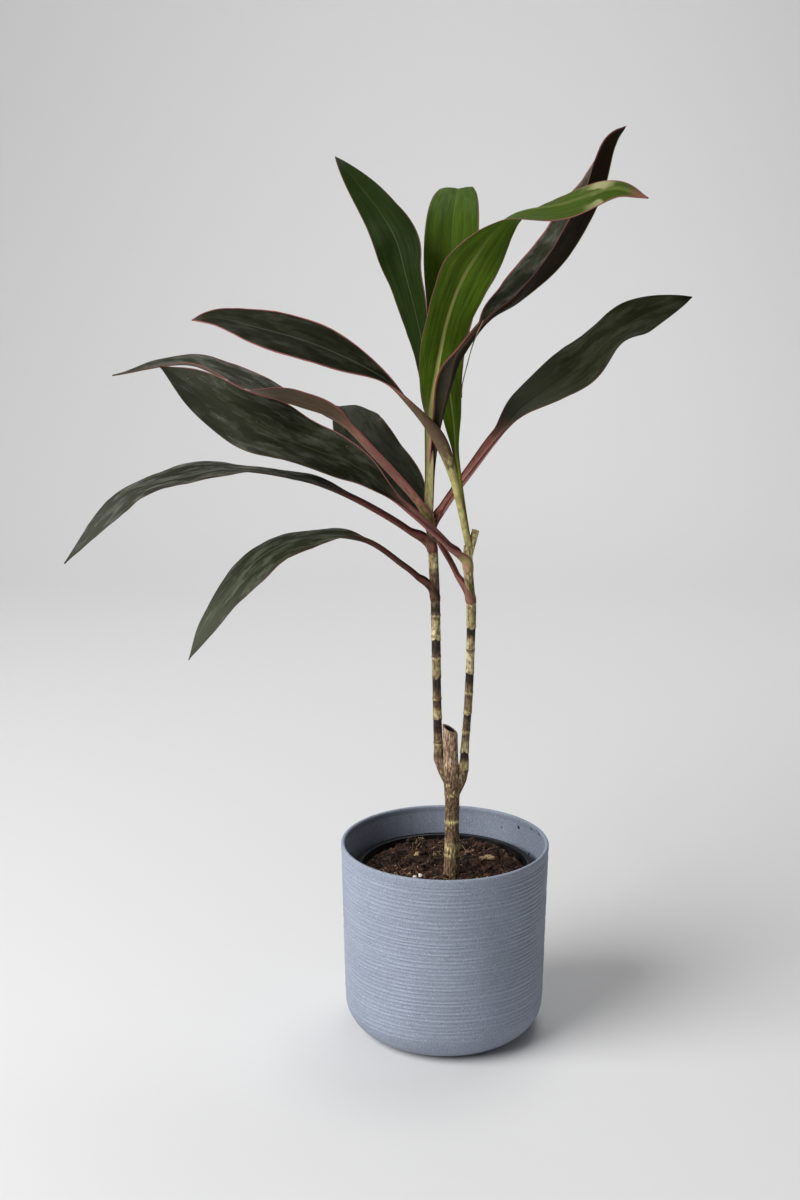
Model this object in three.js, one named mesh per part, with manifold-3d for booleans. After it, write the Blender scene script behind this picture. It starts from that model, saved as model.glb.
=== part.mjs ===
// A potted cordyline: a ridged cover pot, a thin grow pot standing in it, soil, a forked stem with
// two canes, and twelve leaves. Millimetres, +Z up. The origin is the middle of the pot's foot.
// The plant faces the viewer along +Y, so -Y is the front and +X is the right.
import * as THREE from "three";
import Module from "manifold-3d";

const wasm = await Module();
wasm.setup();

// The gap left between pieces that touch.
const GAP = 0.3;

// Cover pot: a slightly conical wall with fine rings, on a foot with a wide round edge.
const POT_HEIGHT = 141.5;
const POT_RIM_RADIUS = 75;
const POT_FOOT_RADIUS = 72.5;
const POT_FOOT_ROUND = 24;
const POT_WALL = 2.8;
const POT_FLOOR = 4;
const POT_SIDES = 36;
const RING_PITCH = 5.5;
const RING_DEPTH = 0.5;
const RING_FIRST = 14;
const RING_LAST = 136;

// Grow pot: a thin cone with a flat rolled rim, standing on the cover pot's floor.
const GROW_RIM_HEIGHT = 123;
const GROW_RIM_RADIUS = 65;
const GROW_RIM_FLANGE = 3.5;
const GROW_FOOT_RADIUS = 44;
const GROW_WALL = 1.2;
const GROW_FLOOR = 1.6;
const GROW_SIDES = 36;
const DRAIN_HOLES = 6;
const DRAIN_RADIUS = 4;
const DRAIN_CIRCLE = 30;

// Soil: its mean level, and how high its lumps stand.
const SOIL_LEVEL = 119.5;
const SOIL_LUMP = 3.4;

// Stem: the foot of the trunk in the soil, and the height of the bottom of its hole.
const STEM_FOOT = 78;
const STEM_SIDES = 12;
const SCAR_RISE = 0.35;

// Leaves: how thick a blade is, and how finely it is divided.
const BLADE_THICKNESS = 0.8;
const LEAF_STEPS = 22;
const LEAF_STRIPS = 4;
const SLEEVE_WALL = 0.9;
const SLEEVE_SIDES = 12;
const SHEATH_SPREAD = 0.2;
const STALK_FOLD = 45;

const smoothstep = THREE.MathUtils.smoothstep;
const lerp = THREE.MathUtils.lerp;
const vec = (x, y, z) => new THREE.Vector3(x, y, z);

// Closed solids from triangles

// A solid from points and triangles, turned inside out if its faces point in.
function solidFrom(points, triangles) {
  const vertProperties = new Float32Array(points.flatMap((p) => [p.x, p.y, p.z]));
  let volume = 0;
  for (const [a, b, c] of triangles) {
    volume += points[a].dot(points[b].clone().cross(points[c]));
  }
  const outward = volume > 0 ? triangles : triangles.map(([a, b, c]) => [a, c, b]);
  const triVerts = new Uint32Array(outward.flat());
  return new wasm.Manifold(new wasm.Mesh({ numProp: 3, vertProperties, triVerts }));
}

// A solid that joins closed rings of equally many points, with a flat cap at each end.
function loft(rings) {
  const count = rings[0].length;
  const points = rings.flat();
  const triangles = [];
  for (let i = 0; i + 1 < rings.length; i++) {
    for (let k = 0; k < count; k++) {
      const a = i * count + k;
      const b = i * count + ((k + 1) % count);
      triangles.push([a, b, b + count], [a, b + count, a + count]);
    }
  }
  for (const [start, flipped] of [[0, true], [points.length - count, false]]) {
    const middle = points.length;
    const ring = points.slice(start, start + count);
    points.push(ring.reduce((sum, p) => sum.add(p), vec(0, 0, 0)).divideScalar(count));
    for (let k = 0; k < count; k++) {
      const a = start + k;
      const b = start + ((k + 1) % count);
      triangles.push(flipped ? [b, a, middle] : [a, b, middle]);
    }
  }
  return solidFrom(points, triangles);
}

// A level ring round a centre.
function levelRing(x, y, z, radius, sides) {
  return Array.from({ length: sides }, (_, k) => {
    const angle = (2 * Math.PI * k) / sides;
    return vec(x + radius * Math.cos(angle), y + radius * Math.sin(angle), z);
  });
}

// A turned solid: the profile is a list of [radius, height] from one end of the axis to the other.
function turned(profile, sides) {
  return loft(profile.map(([radius, height]) => levelRing(0, 0, height, radius, sides)));
}

// The named mesh of a solid.
function meshOf(name, solid, finish) {
  const { vertProperties, triVerts, numProp } = solid.getMesh();
  const positions = new Float32Array((vertProperties.length / numProp) * 3);
  for (let i = 0; i < positions.length / 3; i++) {
    positions.set(vertProperties.subarray(i * numProp, i * numProp + 3), i * 3);
  }
  const geometry = new THREE.BufferGeometry();
  geometry.setAttribute("position", new THREE.BufferAttribute(positions, 3));
  geometry.setIndex(new THREE.BufferAttribute(new Uint32Array(triVerts), 1));
  geometry.computeVertexNormals();
  const mesh = new THREE.Mesh(geometry, new THREE.MeshStandardMaterial(finish));
  mesh.name = name;
  return mesh;
}

// The largest connected body of a solid: a cut can leave loose scraps.
function largest(solid) {
  return solid.decompose().sort((a, b) => b.volume() - a.volume())[0];
}

// Points of a quarter circle about a centre, from one angle to another in degrees.
function arc(centreRadius, centreHeight, radius, from, to, steps) {
  return Array.from({ length: steps + 1 }, (_, i) => {
    const angle = THREE.MathUtils.degToRad(lerp(from, to, i / steps));
    return [centreRadius + radius * Math.cos(angle), centreHeight + radius * Math.sin(angle)];
  });
}

// Pots and soil

// Outer radius of the cover pot's wall at a height above its round foot.
function potRadius(height) {
  const share = (height - POT_FOOT_ROUND) / (POT_HEIGHT - POT_FOOT_ROUND);
  return lerp(POT_FOOT_RADIUS, POT_RIM_RADIUS, Math.max(share, 0));
}

function coverPot() {
  const footCentre = POT_FOOT_RADIUS - POT_FOOT_ROUND;
  const insideRound = POT_FOOT_ROUND - POT_WALL;
  const rimRound = POT_WALL / 2;
  const outside = arc(footCentre, POT_FOOT_ROUND, POT_FOOT_ROUND, -90, -24, 5);
  for (let height = RING_FIRST; height < RING_LAST; height += RING_PITCH) {
    const inFoot = Math.max(POT_FOOT_ROUND - height, 0);
    const curve = footCentre + Math.sqrt(POT_FOOT_ROUND ** 2 - inFoot ** 2) - POT_FOOT_RADIUS;
    const radius = potRadius(height) + curve;
    outside.push([radius, height + RING_PITCH * 0.3], [radius - RING_DEPTH, height + RING_PITCH * 0.8]);
  }
  const rim = arc(POT_RIM_RADIUS - rimRound, POT_HEIGHT - rimRound, rimRound, 0, 180, 4);
  const inside = arc(footCentre, POT_FLOOR + insideRound, insideRound, 0, -90, 5);
  return turned([...outside, ...rim, ...inside], POT_SIDES);
}

// Outer radius of the grow pot at a height.
function growRadius(height) {
  const foot = POT_FLOOR + GAP;
  return lerp(GROW_FOOT_RADIUS, GROW_RIM_RADIUS - GROW_RIM_FLANGE, (height - foot) / (GROW_RIM_HEIGHT - foot));
}

function growPot() {
  const foot = POT_FLOOR + GAP;
  const underRim = GROW_RIM_HEIGHT - 2;
  const floor = foot + GROW_FLOOR;
  const body = turned(
    [
      [GROW_FOOT_RADIUS, foot],
      [growRadius(underRim), underRim],
      [GROW_RIM_RADIUS, underRim],
      [GROW_RIM_RADIUS, GROW_RIM_HEIGHT - 0.6],
      [GROW_RIM_RADIUS - 0.6, GROW_RIM_HEIGHT],
      [growRadius(GROW_RIM_HEIGHT) - GROW_WALL, GROW_RIM_HEIGHT],
      [growRadius(floor) - GROW_WALL, floor],
    ],
    GROW_SIDES,
  );
  let pot = body;
  for (let k = 0; k < DRAIN_HOLES; k++) {
    const angle = (2 * Math.PI * k) / DRAIN_HOLES;
    const x = DRAIN_CIRCLE * Math.cos(angle);
    const y = DRAIN_CIRCLE * Math.sin(angle);
    const hole = loft([levelRing(x, y, foot - 1, DRAIN_RADIUS, 8), levelRing(x, y, floor + 1, DRAIN_RADIUS, 8)]);
    pot = pot.subtract(hole);
  }
  return pot;
}

// Height of the soil at a place: broad clods with smaller crumbs on them.
function soilHeight(x, y) {
  const clods = Math.sin(0.17 * x + 1.3) * Math.cos(0.21 * y - 0.4) + 0.6 * Math.sin(0.33 * x - 0.29 * y + 2.1);
  const crumbs = Math.sin(0.71 * x + 0.9) * Math.sin(0.63 * y + 0.2);
  return SOIL_LEVEL + SOIL_LUMP * (0.5 * clods + 0.35 * crumbs);
}

function soil(stemHole) {
  const bottom = POT_FLOOR + GAP + GROW_FLOOR + GAP;
  const wallRadius = (height) => growRadius(height) - GROW_WALL - GAP;
  const sides = 36;
  const rings = [levelRing(0, 0, bottom, wallRadius(bottom), sides)];
  for (const share of [1, 0.84, 0.68, 0.52, 0.36, 0.2, 0.06]) {
    const edge = wallRadius(SOIL_LEVEL - 2);
    rings.push(
      levelRing(0, 0, 0, edge * share, sides).map(({ x, y }) => {
        const height = share === 1 ? SOIL_LEVEL - 2 : soilHeight(x, y);
        return vec(x, y, height);
      }),
    );
  }
  return loft(rings).subtract(stemHole);
}

// Stem

// Middle line and radius of the trunk with its cut stub, and of the canes: [x, y, z, radius].
const TRUNK = [
  [4, -12, 78, 4.6],
  [4.2, -12, 104, 5.6],
  [4.3, -12, 118, 5.6],
  [4.8, -12, 143, 5.2],
  [4.7, -12, 161, 5],
  [4.6, -12, 180, 5.2],
  [4.2, -12, 194, 5.9],
  [3.6, -12, 205, 5.4],
  [2.8, -12, 229, 5.2],
  [2.4, -12, 238, 5.2],
];
const LEFT_CANE = [
  [2.4, -11, 188, 3.2],
  [-1.6, -10.4, 197, 3.6],
  [-4.8, -10, 207, 3.6],
  [-5.2, -10, 214, 3.2],
  [-6, -10, 236, 3.1],
  [-6.5, -10, 257, 3],
  [-7.3, -10, 294, 3.2],
  [-7.9, -10, 322, 3.1],
  [-8.9, -10, 340, 2.9],
  [-9.7, -10, 354, 2.9],
  [-11, -10, 369, 3],
  [-12.3, -10, 383, 2.9],
];
const RIGHT_CANE = [
  [6.4, -12, 180, 3.4],
  [10.6, -12, 192, 4.2],
  [12.9, -12, 203, 3.4],
  [13.3, -12, 214, 2.9],
  [15, -12, 240, 2.8],
  [15.9, -12, 258, 2.9],
  [16.7, -12, 287, 2.9],
  [16.9, -12, 318, 3.3],
  [15.4, -12, 334, 2.7],
  [14.3, -12, 350, 2.7],
  [14.5, -12, 361, 3],
];
// The trunk's cut end: its height at the middle of the stub, how steeply it falls to the right, and
// how it rises to the back.
const STUB_X = 2.8;
const STUB_Y = -12;
const CUT_HEIGHT = 229.3;
const CUT_FALL = 0.62;
const CUT_LEAN = 0.15;
// Heights of the scars that fallen leaves left.
const TRUNK_SCARS = [136, 158, 170];
const LEFT_SCARS = [218, 236, 251, 266, 281, 294, 309];
const RIGHT_SCARS = [212, 229, 240.5, 256, 270, 288, 303];

// A cane as a smooth middle line that can be read at any height.
function caneLine(stations) {
  const line = new THREE.CatmullRomCurve3(stations.map(([x, y, z]) => vec(x, y, z)));
  const sizes = new THREE.CatmullRomCurve3(stations.map(([, , z, r]) => vec(r, 0, z)));
  const at = (height) => {
    let low = 0;
    let high = 1;
    for (let i = 0; i < 30; i++) {
      const middle = (low + high) / 2;
      if (line.getPoint(middle).z < height) low = middle;
      else high = middle;
    }
    return { centre: line.getPoint(low), radius: sizes.getPoint(low).x };
  };
  return { at, bottom: stations[0][2], top: stations[stations.length - 1][2] };
}

// A cane's solid: level rings about every 12 mm, and a low bead round each scar.
function caneSolid(line, scars, grow, sides) {
  const heights = [line.bottom - grow];
  for (let z = line.bottom + 6; z < line.top - 6; z += 12) {
    if (scars.every((scar) => Math.abs(scar - z) > 3)) heights.push(z);
  }
  scars.forEach((scar) => heights.push(scar - 1.2, scar, scar + 1));
  heights.push(line.top + grow);
  heights.sort((a, b) => a - b);
  const rings = heights.map((z) => {
    const { centre, radius } = line.at(THREE.MathUtils.clamp(z, line.bottom, line.top));
    const bead = scars.includes(z) ? SCAR_RISE : 0;
    return levelRing(centre.x, centre.y, z, radius + bead + grow, sides);
  });
  return loft(rings);
}

const trunkLine = caneLine(TRUNK);
const leftLine = caneLine(LEFT_CANE);
const rightLine = caneLine(RIGHT_CANE);

const trunkSolid = (grow) => caneSolid(trunkLine, TRUNK_SCARS, grow, STEM_SIDES);

// The two canes, and the stub of a cut leaf stalk at the top of the right one.
function canesSolid(grow) {
  const left = caneSolid(leftLine, LEFT_SCARS, grow, STEM_SIDES);
  const right = caneSolid(rightLine, RIGHT_SCARS, grow, STEM_SIDES);
  const petioleStub = loft([
    levelRing(14.8, -11, 354 - grow, 2 + grow, 8),
    levelRing(17, -10.4, 362, 1.8 + grow, 8),
    levelRing(19.6, -10, 371.5 + grow, 1.5 + grow, 8),
  ]);
  return left.add(right).add(petioleStub);
}

// The trunk ends in a stub between the canes. Its top is cut on a slant, and it is hollow: the
// hollow is a cup that widens towards the cut.
function stem() {
  const cut = levelRing(STUB_X, STUB_Y, 0, 14, 12).map(({ x, y }) => {
    return vec(x, y, CUT_HEIGHT - CUT_FALL * (x - STUB_X) + CUT_LEAN * (y - STUB_Y));
  });
  const slant = loft([cut, levelRing(STUB_X, STUB_Y, 255, 14, 12)]);
  const hollow = loft([levelRing(3.4, -12, 220.5, 1.6, 8), levelRing(2.2, -12, 238, 4.4, 8)]);
  return trunkSolid(0).subtract(slant).subtract(hollow).add(canesSolid(0));
}

// Leaves

// Half width of a leaf at a share of its length. The stalk narrows from its foot to the neck where
// the blade begins, and on young leaves it swells into an open sheath on the way. The blade is
// widest at the share given and ends in a drawn-out tip.
function halfWidth(leaf, share) {
  const { foot, neck, sheath = 0, sheathAt = 0.7 } = leaf.stalk;
  const q = Math.min(share / leaf.stalkShare, 1);
  const s = THREE.MathUtils.clamp((share - leaf.stalkShare) / (1 - leaf.stalkShare), 1e-6, 1 - 1e-6);
  const swell = sheath * Math.exp(-(((q - sheathAt) / SHEATH_SPREAD) ** 2));
  const stalk = (lerp(foot, neck, q) + swell) * (1 - smoothstep(s, 0, 0.9));
  const { halfWidth: widest, widestAt: m, taper } = leaf;
  const blade = widest * (s / m) ** (taper * m) * ((1 - s) / (1 - m)) ** (taper * (1 - m));
  return Math.max(Math.hypot(stalk, blade), 0.35);
}

// Frames along a leaf: the midrib point, the way along it, the way its upper face looks, and the
// way across it.
function leafFrame(leaf, share) {
  const t = leaf.line.getUtoTmapping(share);
  const centre = leaf.line.getPoint(t);
  const along = leaf.line.getTangent(t);
  const up = leaf.looks.getPoint(t);
  up.addScaledVector(along, -up.dot(along)).normalize();
  const across = along.clone().cross(up);
  return { centre, up, across };
}

// One leaf as a closed solid: an upper sheet, a lower sheet below it, and the thin edge between.
// Both sheets are split into triangles the same way, so that they never cross where the blade waves.
function leafBlade(leaf) {
  const strips = LEAF_STRIPS;
  const row = strips + 1;
  const upper = [];
  const lower = [];
  for (let i = 0; i <= LEAF_STEPS; i++) {
    const share = i / LEAF_STEPS;
    const { centre, up, across } = leafFrame(leaf, share);
    const width = halfWidth(leaf, share);
    const opened = smoothstep(share, leaf.stalkShare - 0.05, leaf.stalkShare + 0.18);
    const fold = THREE.MathUtils.degToRad(lerp(STALK_FOLD, leaf.fold, opened));
    const bladeShare = Math.max(share - leaf.stalkShare, 0) / (1 - leaf.stalkShare);
    for (let k = 0; k <= strips; k++) {
      const v = (2 * k) / strips - 1;
      const side = Math.sign(v);
      const phase = leaf.wavePhase + (side > 0 ? 1.7 : 0);
      const wave = leaf.wave * v * v * opened * Math.sin(Math.PI * bladeShare)
        * Math.sin(2 * Math.PI * leaf.waves * bladeShare + phase);
      const edge = BLADE_THICKNESS / Math.cos(fold);
      const rib = lerp(leaf.stalk.thick, edge, smoothstep(share, leaf.stalkShare, 0.95));
      const thickness = Math.max(lerp(rib, edge, Math.abs(v) ** 0.5), BLADE_THICKNESS);
      const top = centre.clone()
        .addScaledVector(across, v * width * Math.cos(fold))
        .addScaledVector(up, Math.abs(v) * width * Math.sin(fold) + wave);
      upper.push(top);
      lower.push(top.clone().addScaledVector(up, -thickness));
    }
  }
  const points = [...upper, ...lower];
  const below = upper.length;
  const triangles = [];
  const quad = (a, b, c, d) => triangles.push([a, b, c], [a, c, d]);
  for (let i = 0; i < LEAF_STEPS; i++) {
    const here = i * row;
    const next = here + row;
    for (let k = 0; k < strips; k++) {
      quad(here + k, here + k + 1, next + k + 1, next + k);
      triangles.push([below + here + k, below + next + k + 1, below + here + k + 1]);
      triangles.push([below + here + k, below + next + k, below + next + k + 1]);
    }
    quad(here, next, below + next, below + here);
    quad(here + strips, below + here + strips, below + next + strips, next + strips);
  }
  const last = LEAF_STEPS * row;
  for (let k = 0; k < strips; k++) {
    quad(k, below + k, below + k + 1, k + 1);
    quad(last + k, last + k + 1, below + last + k + 1, below + last + k);
  }
  return solidFrom(points, triangles);
}

// The sheath that clasps a cane between two heights.
function sleeve(line, low, high) {
  const heights = [low, lerp(low, high, 0.35), high];
  const walls = [SLEEVE_WALL * 0.7, SLEEVE_WALL, SLEEVE_WALL * 0.6];
  return loft(
    heights.map((z, i) => {
      const { centre, radius } = line.at(z);
      return levelRing(centre.x, centre.y, z, radius + GAP + walls[i], SLEEVE_SIDES);
    }),
  );
}

// The leaves. Each station gives a point of the midrib, [x, y, z], and the way that the upper face
// looks there. The shares are of the leaf's length: the stalk's, and the blade's widest place.
// A leaf low on a cane clasps it with a sheath between two heights.
const LEAVES = {
  leaf_low_left: {
    stations: [
      [[-7, -10, 323], [-0.5, -0.1, 0.9]],
      [[-12, -12, 333], [-0.3, -0.2, 0.9]],
      [[-31, -17, 350], [-0.3, -0.3, 0.9]],
      [[-57, -26, 368], [0, -0.2, 1]],
      [[-96, -35, 371], [-0.2, -0.2, 0.9]],
      [[-125, -45, 360], [-0.4, -0.4, 0.8]],
      [[-145, -56, 339], [-0.6, -0.5, 0.6]],
      [[-160, -66, 318], [-0.6, -0.7, 0.4]],
      [[-172, -72, 296], [-0.5, -0.8, 0.3]],
    ],
    stalk: { foot: 2.6, neck: 2, thick: 2 },
    stalkShare: 0.33, halfWidth: 19.0, widestAt: 0.44, taper: 2.1, fold: 3,
    wave: 1, waves: 3, wavePhase: 0.4,
    clasp: { line: leftLine, low: 322, high: 337 },
  },
  leaf_mid_left: {
    stations: [
      [[-10, -10, 350], [-0.5, -0.1, 0.9]],
      [[-18, -12, 365], [-0.3, -0.3, 0.9]],
      [[-39, -18, 383], [0.2, -0.5, 0.8]],
      [[-79, -24, 403], [0.1, -0.7, 0.7]],
      [[-113, -29, 413], [0, 0, 1]],
      [[-154, -34, 417], [0, -0.1, 1]],
      [[-180, -40, 412], [-0.1, -0.2, 1]],
      [[-205, -46, 405], [-0.5, -0.3, 0.8]],
      [[-224, -54, 390], [-0.5, -0.5, 0.7]],
      [[-253, -62, 359], [-0.6, -0.6, 0.6]],
    ],
    stalk: { foot: 2.8, neck: 2.2, thick: 2 },
    stalkShare: 0.26, halfWidth: 18.9, widestAt: 0.50, taper: 2.2, fold: 3,
    wave: 1, waves: 3.5, wavePhase: 1.2,
    clasp: { line: leftLine, low: 349, high: 362 },
  },
  leaf_long_left: {
    stations: [
      [[-14.5, -10, 374], [0.3, 0.2, 0.9]],
      [[-20, -8.5, 387], [0.3, 0.3, 0.9]],
      [[-29, -3, 402], [0.4, 0.1, 0.9]],
      [[-48, 2, 422], [0.4, 0.2, 0.9]],
      [[-74, 9, 447], [0.3, 0.3, 0.9]],
      [[-104, 16, 457], [0.3, 0.1, 0.9]],
      [[-131, 24, 463], [0.2, -0.1, 1]],
      [[-160, 32, 474], [0.2, -0.1, 1]],
      [[-182, 40, 480], [-0.1, -0.2, 1]],
      [[-235, 46, 472], [-0.2, -0.2, 1]],
    ],
    stalk: { foot: 3.6, neck: 3.2, thick: 2 },
    stalkShare: 0.35, halfWidth: 19.1, widestAt: 0.50, taper: 2.1, fold: 20,
    wave: 1, waves: 3, wavePhase: 2,
    clasp: { line: leftLine, low: 377.5, high: 382.4 },
  },
  leaf_right: {
    stations: [
      [[-11, -9, 366], [0.4, 0, 0.9]],
      [[-7, -4, 377], [0.2, 0, 1]],
      [[1, 2, 389], [-0.3, -0.2, 0.9]],
      [[17, 9, 410], [-0.4, -0.5, 0.8]],
      [[34, 17, 432], [-0.3, -0.7, 0.6]],
      [[53, 25, 452], [-0.4, -0.7, 0.6]],
      [[89, 33, 476], [-0.3, -0.7, 0.6]],
      [[115, 40, 499], [-0.4, -0.5, 0.8]],
      [[137, 46, 513], [-0.1, -0.8, 0.5]],
      [[172, 50, 526], [0.1, -0.9, 0.3]],
    ],
    stalk: { foot: 3, neck: 3, thick: 2 },
    stalkShare: 0.34, halfWidth: 19.4, widestAt: 0.50, taper: 1.8, fold: 11,
    wave: 1.2, waves: 3, wavePhase: 0.9,
    clasp: { line: leftLine, low: 365.5, high: 373 },
  },
  leaf_broad_left: {
    stations: [
      [[16, -14, 354], [0, -0.4, 0.9]],
      [[2, -20, 364], [0.3, -0.5, 0.8]],
      [[-17, -25, 381], [0.2, -0.8, 0.6]],
      [[-43, -28, 403], [0, -0.9, 0.4]],
      [[-60, -29, 417], [0, -0.9, 0.3]],
      [[-102, -27, 434], [0.2, -0.8, 0.6]],
      [[-138, -22, 452], [-0.2, -1, -0.1]],
      [[-161, -15, 464], [-0.1, -1, 0.1]],
      [[-194, -6, 483], [0.3, -0.6, 0.7]],
    ],
    stalk: { foot: 4, neck: 2.8, thick: 2.2 },
    stalkShare: 0.27, halfWidth: 20.7, widestAt: 0.56, taper: 2.0, fold: 18,
    wave: 1, waves: 3.5, wavePhase: 0,
    clasp: { line: rightLine, low: 347, high: 357 },
  },
  leaf_behind: {
    stations: [
      [[17, -12, 323], [0, 0, 1]],
      [[7, -2, 342], [0.3, -0.3, 0.9]],
      [[-4, 8, 359], [0.2, -0.5, 0.8]],
      [[-16, 18, 379], [0.2, -0.7, 0.7]],
      [[-30, 30, 399], [0.1, -0.8, 0.6]],
      [[-46, 42, 415], [0.2, -0.8, 0.6]],
      [[-60, 58, 429], [-0.1, -0.8, 0.6]],
      [[-66, 80, 440], [0.1, -0.3, 0.9]],
      [[-78, 106, 443], [0.1, 0, 1]],
      [[-87, 132, 436], [0.1, 0.3, 0.9]],
    ],
    stalk: { foot: 3, neck: 2.4, thick: 2 },
    stalkShare: 0.36, halfWidth: 18.3, widestAt: 0.45, taper: 2.0, fold: 6,
    wave: 1, waves: 3, wavePhase: 2.6,
    clasp: { line: rightLine, low: 316, high: 326 },
  },
  leaf_upper_left: {
    stations: [
      [[15, -13.5, 361], [0.5, 0.8, 0.3]],
      [[10, -18, 389], [0.5, 0.8, 0.3]],
      [[3, -22, 412], [0.3, 0.9, 0.3]],
      [[-6, -26, 434], [0.2, 0.9, 0.3]],
      [[-27, -29, 461], [0.5, 0.3, 0.8]],
      [[-42, -29, 476], [0.2, -0.8, 0.6]],
      [[-86, -26, 498], [0.2, -0.8, 0.6]],
      [[-128, -22, 510], [0.2, -0.6, 0.7]],
      [[-156, -17, 516], [0.2, -0.6, 0.7]],
      [[-171, -12, 514], [0.2, -0.8, 0.6]],
    ],
    stalk: { foot: 1.8, neck: 2, thick: 1.6, sheath: 5, sheathAt: 0.72 },
    stalkShare: 0.44, halfWidth: 17.4, widestAt: 0.57, taper: 2.3, fold: 5,
    wave: 0.8, waves: 2.5, wavePhase: 1,
  },
  leaf_upright_green: {
    stations: [
      [[14, -10.5, 361], [-0.2, -1, 0.1]],
      [[9, -7, 395], [-0.2, -1, 0.1]],
      [[5, -5, 422], [-0.2, -1, 0.1]],
      [[4, -4, 446], [-0.5, -0.8, 0.1]],
      [[1, -3, 472], [-0.5, -0.9, 0.1]],
      [[2, 1, 501], [-0.3, -0.9, 0.1]],
      [[12, 7, 530], [-0.3, -1, 0.1]],
      [[22, 15, 553], [-0.2, -1, 0.1]],
    ],
    stalk: { foot: 1.8, neck: 2, thick: 1.6 },
    stalkShare: 0.30, halfWidth: 13.1, widestAt: 0.56, taper: 2.0, fold: 16,
    wave: 0.6, waves: 2, wavePhase: 0.3,
  },
  leaf_centre_front: {
    stations: [
      [[-13, -12, 383], [0, -1, 0]],
      [[-12, -13, 417], [0, -1, 0]],
      [[-12, -15, 452], [0.1, -1, 0]],
      [[-8, -17, 480], [0.2, -1, 0.1]],
      [[-2, -21, 512], [0.5, -0.8, 0]],
      [[4, -25, 531], [0.5, -0.9, -0.1]],
      [[13, -31, 550], [0.4, -0.9, -0.1]],
      [[37, -44, 580], [0.4, -0.2, -0.9]],
      [[72, -58, 589], [0.2, 0.6, -0.8]],
      [[102, -68, 598], [0.2, 0.8, -0.6]],
      [[121, -76, 592], [0.4, 0.8, -0.5]],
    ],
    stalk: { foot: 1.1, neck: 1.6, thick: 1.3 },
    stalkShare: 0.21, halfWidth: 19.4, widestAt: 0.45, taper: 1.6, fold: 9,
    wave: 0.8, waves: 2.5, wavePhase: 0.6,
  },
  leaf_tall_right: {
    stations: [
      [[-10, -10, 383], [0.5, -0.9, 0]],
      [[-10, -12, 417], [0.3, -0.9, 0]],
      [[-7, -20, 446], [-0.5, -0.8, 0.3]],
      [[0, -24, 475], [-0.7, -0.7, 0.3]],
      [[9, -23, 493], [-0.8, -0.1, 0.6]],
      [[26, -17, 515], [-0.6, -0.5, 0.6]],
      [[46, -8, 526], [-0.6, -0.5, 0.6]],
      [[77, 2, 552], [-0.8, -0.4, 0.5]],
      [[102, 14, 594], [-0.9, -0.2, 0.3]],
      [[112, 24, 629], [-1, 0.1, 0.2]],
      [[119, 30, 640], [-0.8, -0.4, 0.5]],
    ],
    stalk: { foot: 1.1, neck: 2.2, thick: 1.3, sheath: 6, sheathAt: 0.72 },
    stalkShare: 0.44, halfWidth: 23.0, widestAt: 0.47, taper: 1.6, fold: 56,
    wave: 0.5, waves: 2, wavePhase: 0,
  },
  leaf_centre_back: {
    stations: [
      [[-12, -8, 383], [0, -1, 0]],
      [[-12, -8, 416], [0, -1, 0]],
      [[-11, -1, 450], [0, -1, 0.1]],
      [[-7, 8, 479], [0, -1, 0.1]],
      [[0, 16, 513], [0, -1, 0.2]],
      [[1, 26, 557], [0, -1, 0.3]],
      [[5, 42, 572], [0.5, -0.8, 0.3]],
      [[10, 66, 588], [-0.2, -0.3, 0.9]],
      [[10, 94, 598], [0, 0.2, 1]],
      [[17, 120, 587], [0, 0.5, 0.8]],
    ],
    stalk: { foot: 1.1, neck: 1.6, thick: 1.3 },
    stalkShare: 0.30, halfWidth: 18.6, widestAt: 0.49, taper: 1.9, fold: 14,
    wave: 0.8, waves: 3, wavePhase: 1.4,
  },
  leaf_tall_left: {
    stations: [
      [[-14.5, -10, 383.5], [-0.1, -1, 0]],
      [[-14, -10, 416], [-0.1, -1, 0]],
      [[-14, -8, 451], [-0.4, -0.9, 0]],
      [[-15, -6, 480], [-0.8, -0.6, 0]],
      [[-20, -2, 510], [-0.8, -0.6, 0]],
      [[-28, 2, 541], [-0.7, -0.7, 0]],
      [[-35, 8, 565], [-0.2, -1, 0.2]],
      [[-46, 16, 584], [-0.4, -0.9, 0]],
      [[-76, 24, 620], [-0.2, -1, 0.1]],
    ],
    stalk: { foot: 1.1, neck: 1.6, thick: 1.3 },
    stalkShare: 0.29, halfWidth: 16.1, widestAt: 0.52, taper: 1.8, fold: 7,
    wave: 0.6, waves: 2.5, wavePhase: 2.2,
  },
};

// A leaf with its sheath, kept clear of the stem.
function leafSolid(leaf, stemSpace) {
  leaf.line = new THREE.CatmullRomCurve3(leaf.stations.map(([place]) => vec(...place)));
  leaf.looks = new THREE.CatmullRomCurve3(leaf.stations.map(([, way]) => vec(...way)), false, "catmullrom", 0.5);
  let solid = leafBlade(leaf);
  if (leaf.clasp) solid = solid.add(sleeve(leaf.clasp.line, leaf.clasp.low, leaf.clasp.high));
  return largest(solid.subtract(stemSpace));
}

// The whole object

const FINISH = {
  pot: { color: 0x8290ad, roughness: 0.85, metalness: 0 },
  grow: { color: 0x121212, roughness: 0.35, metalness: 0 },
  soil: { color: 0x33231b, roughness: 1, metalness: 0 },
  stem: { color: 0xa08c62, roughness: 0.8, metalness: 0 },
  darkLeaf: { color: 0x2a3320, roughness: 0.35, metalness: 0 },
  greenLeaf: { color: 0x3f6b1e, roughness: 0.35, metalness: 0 },
};
const GREEN_LEAVES = ["leaf_upright_green", "leaf_centre_front", "leaf_centre_back"];

const group = new THREE.Group();
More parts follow.
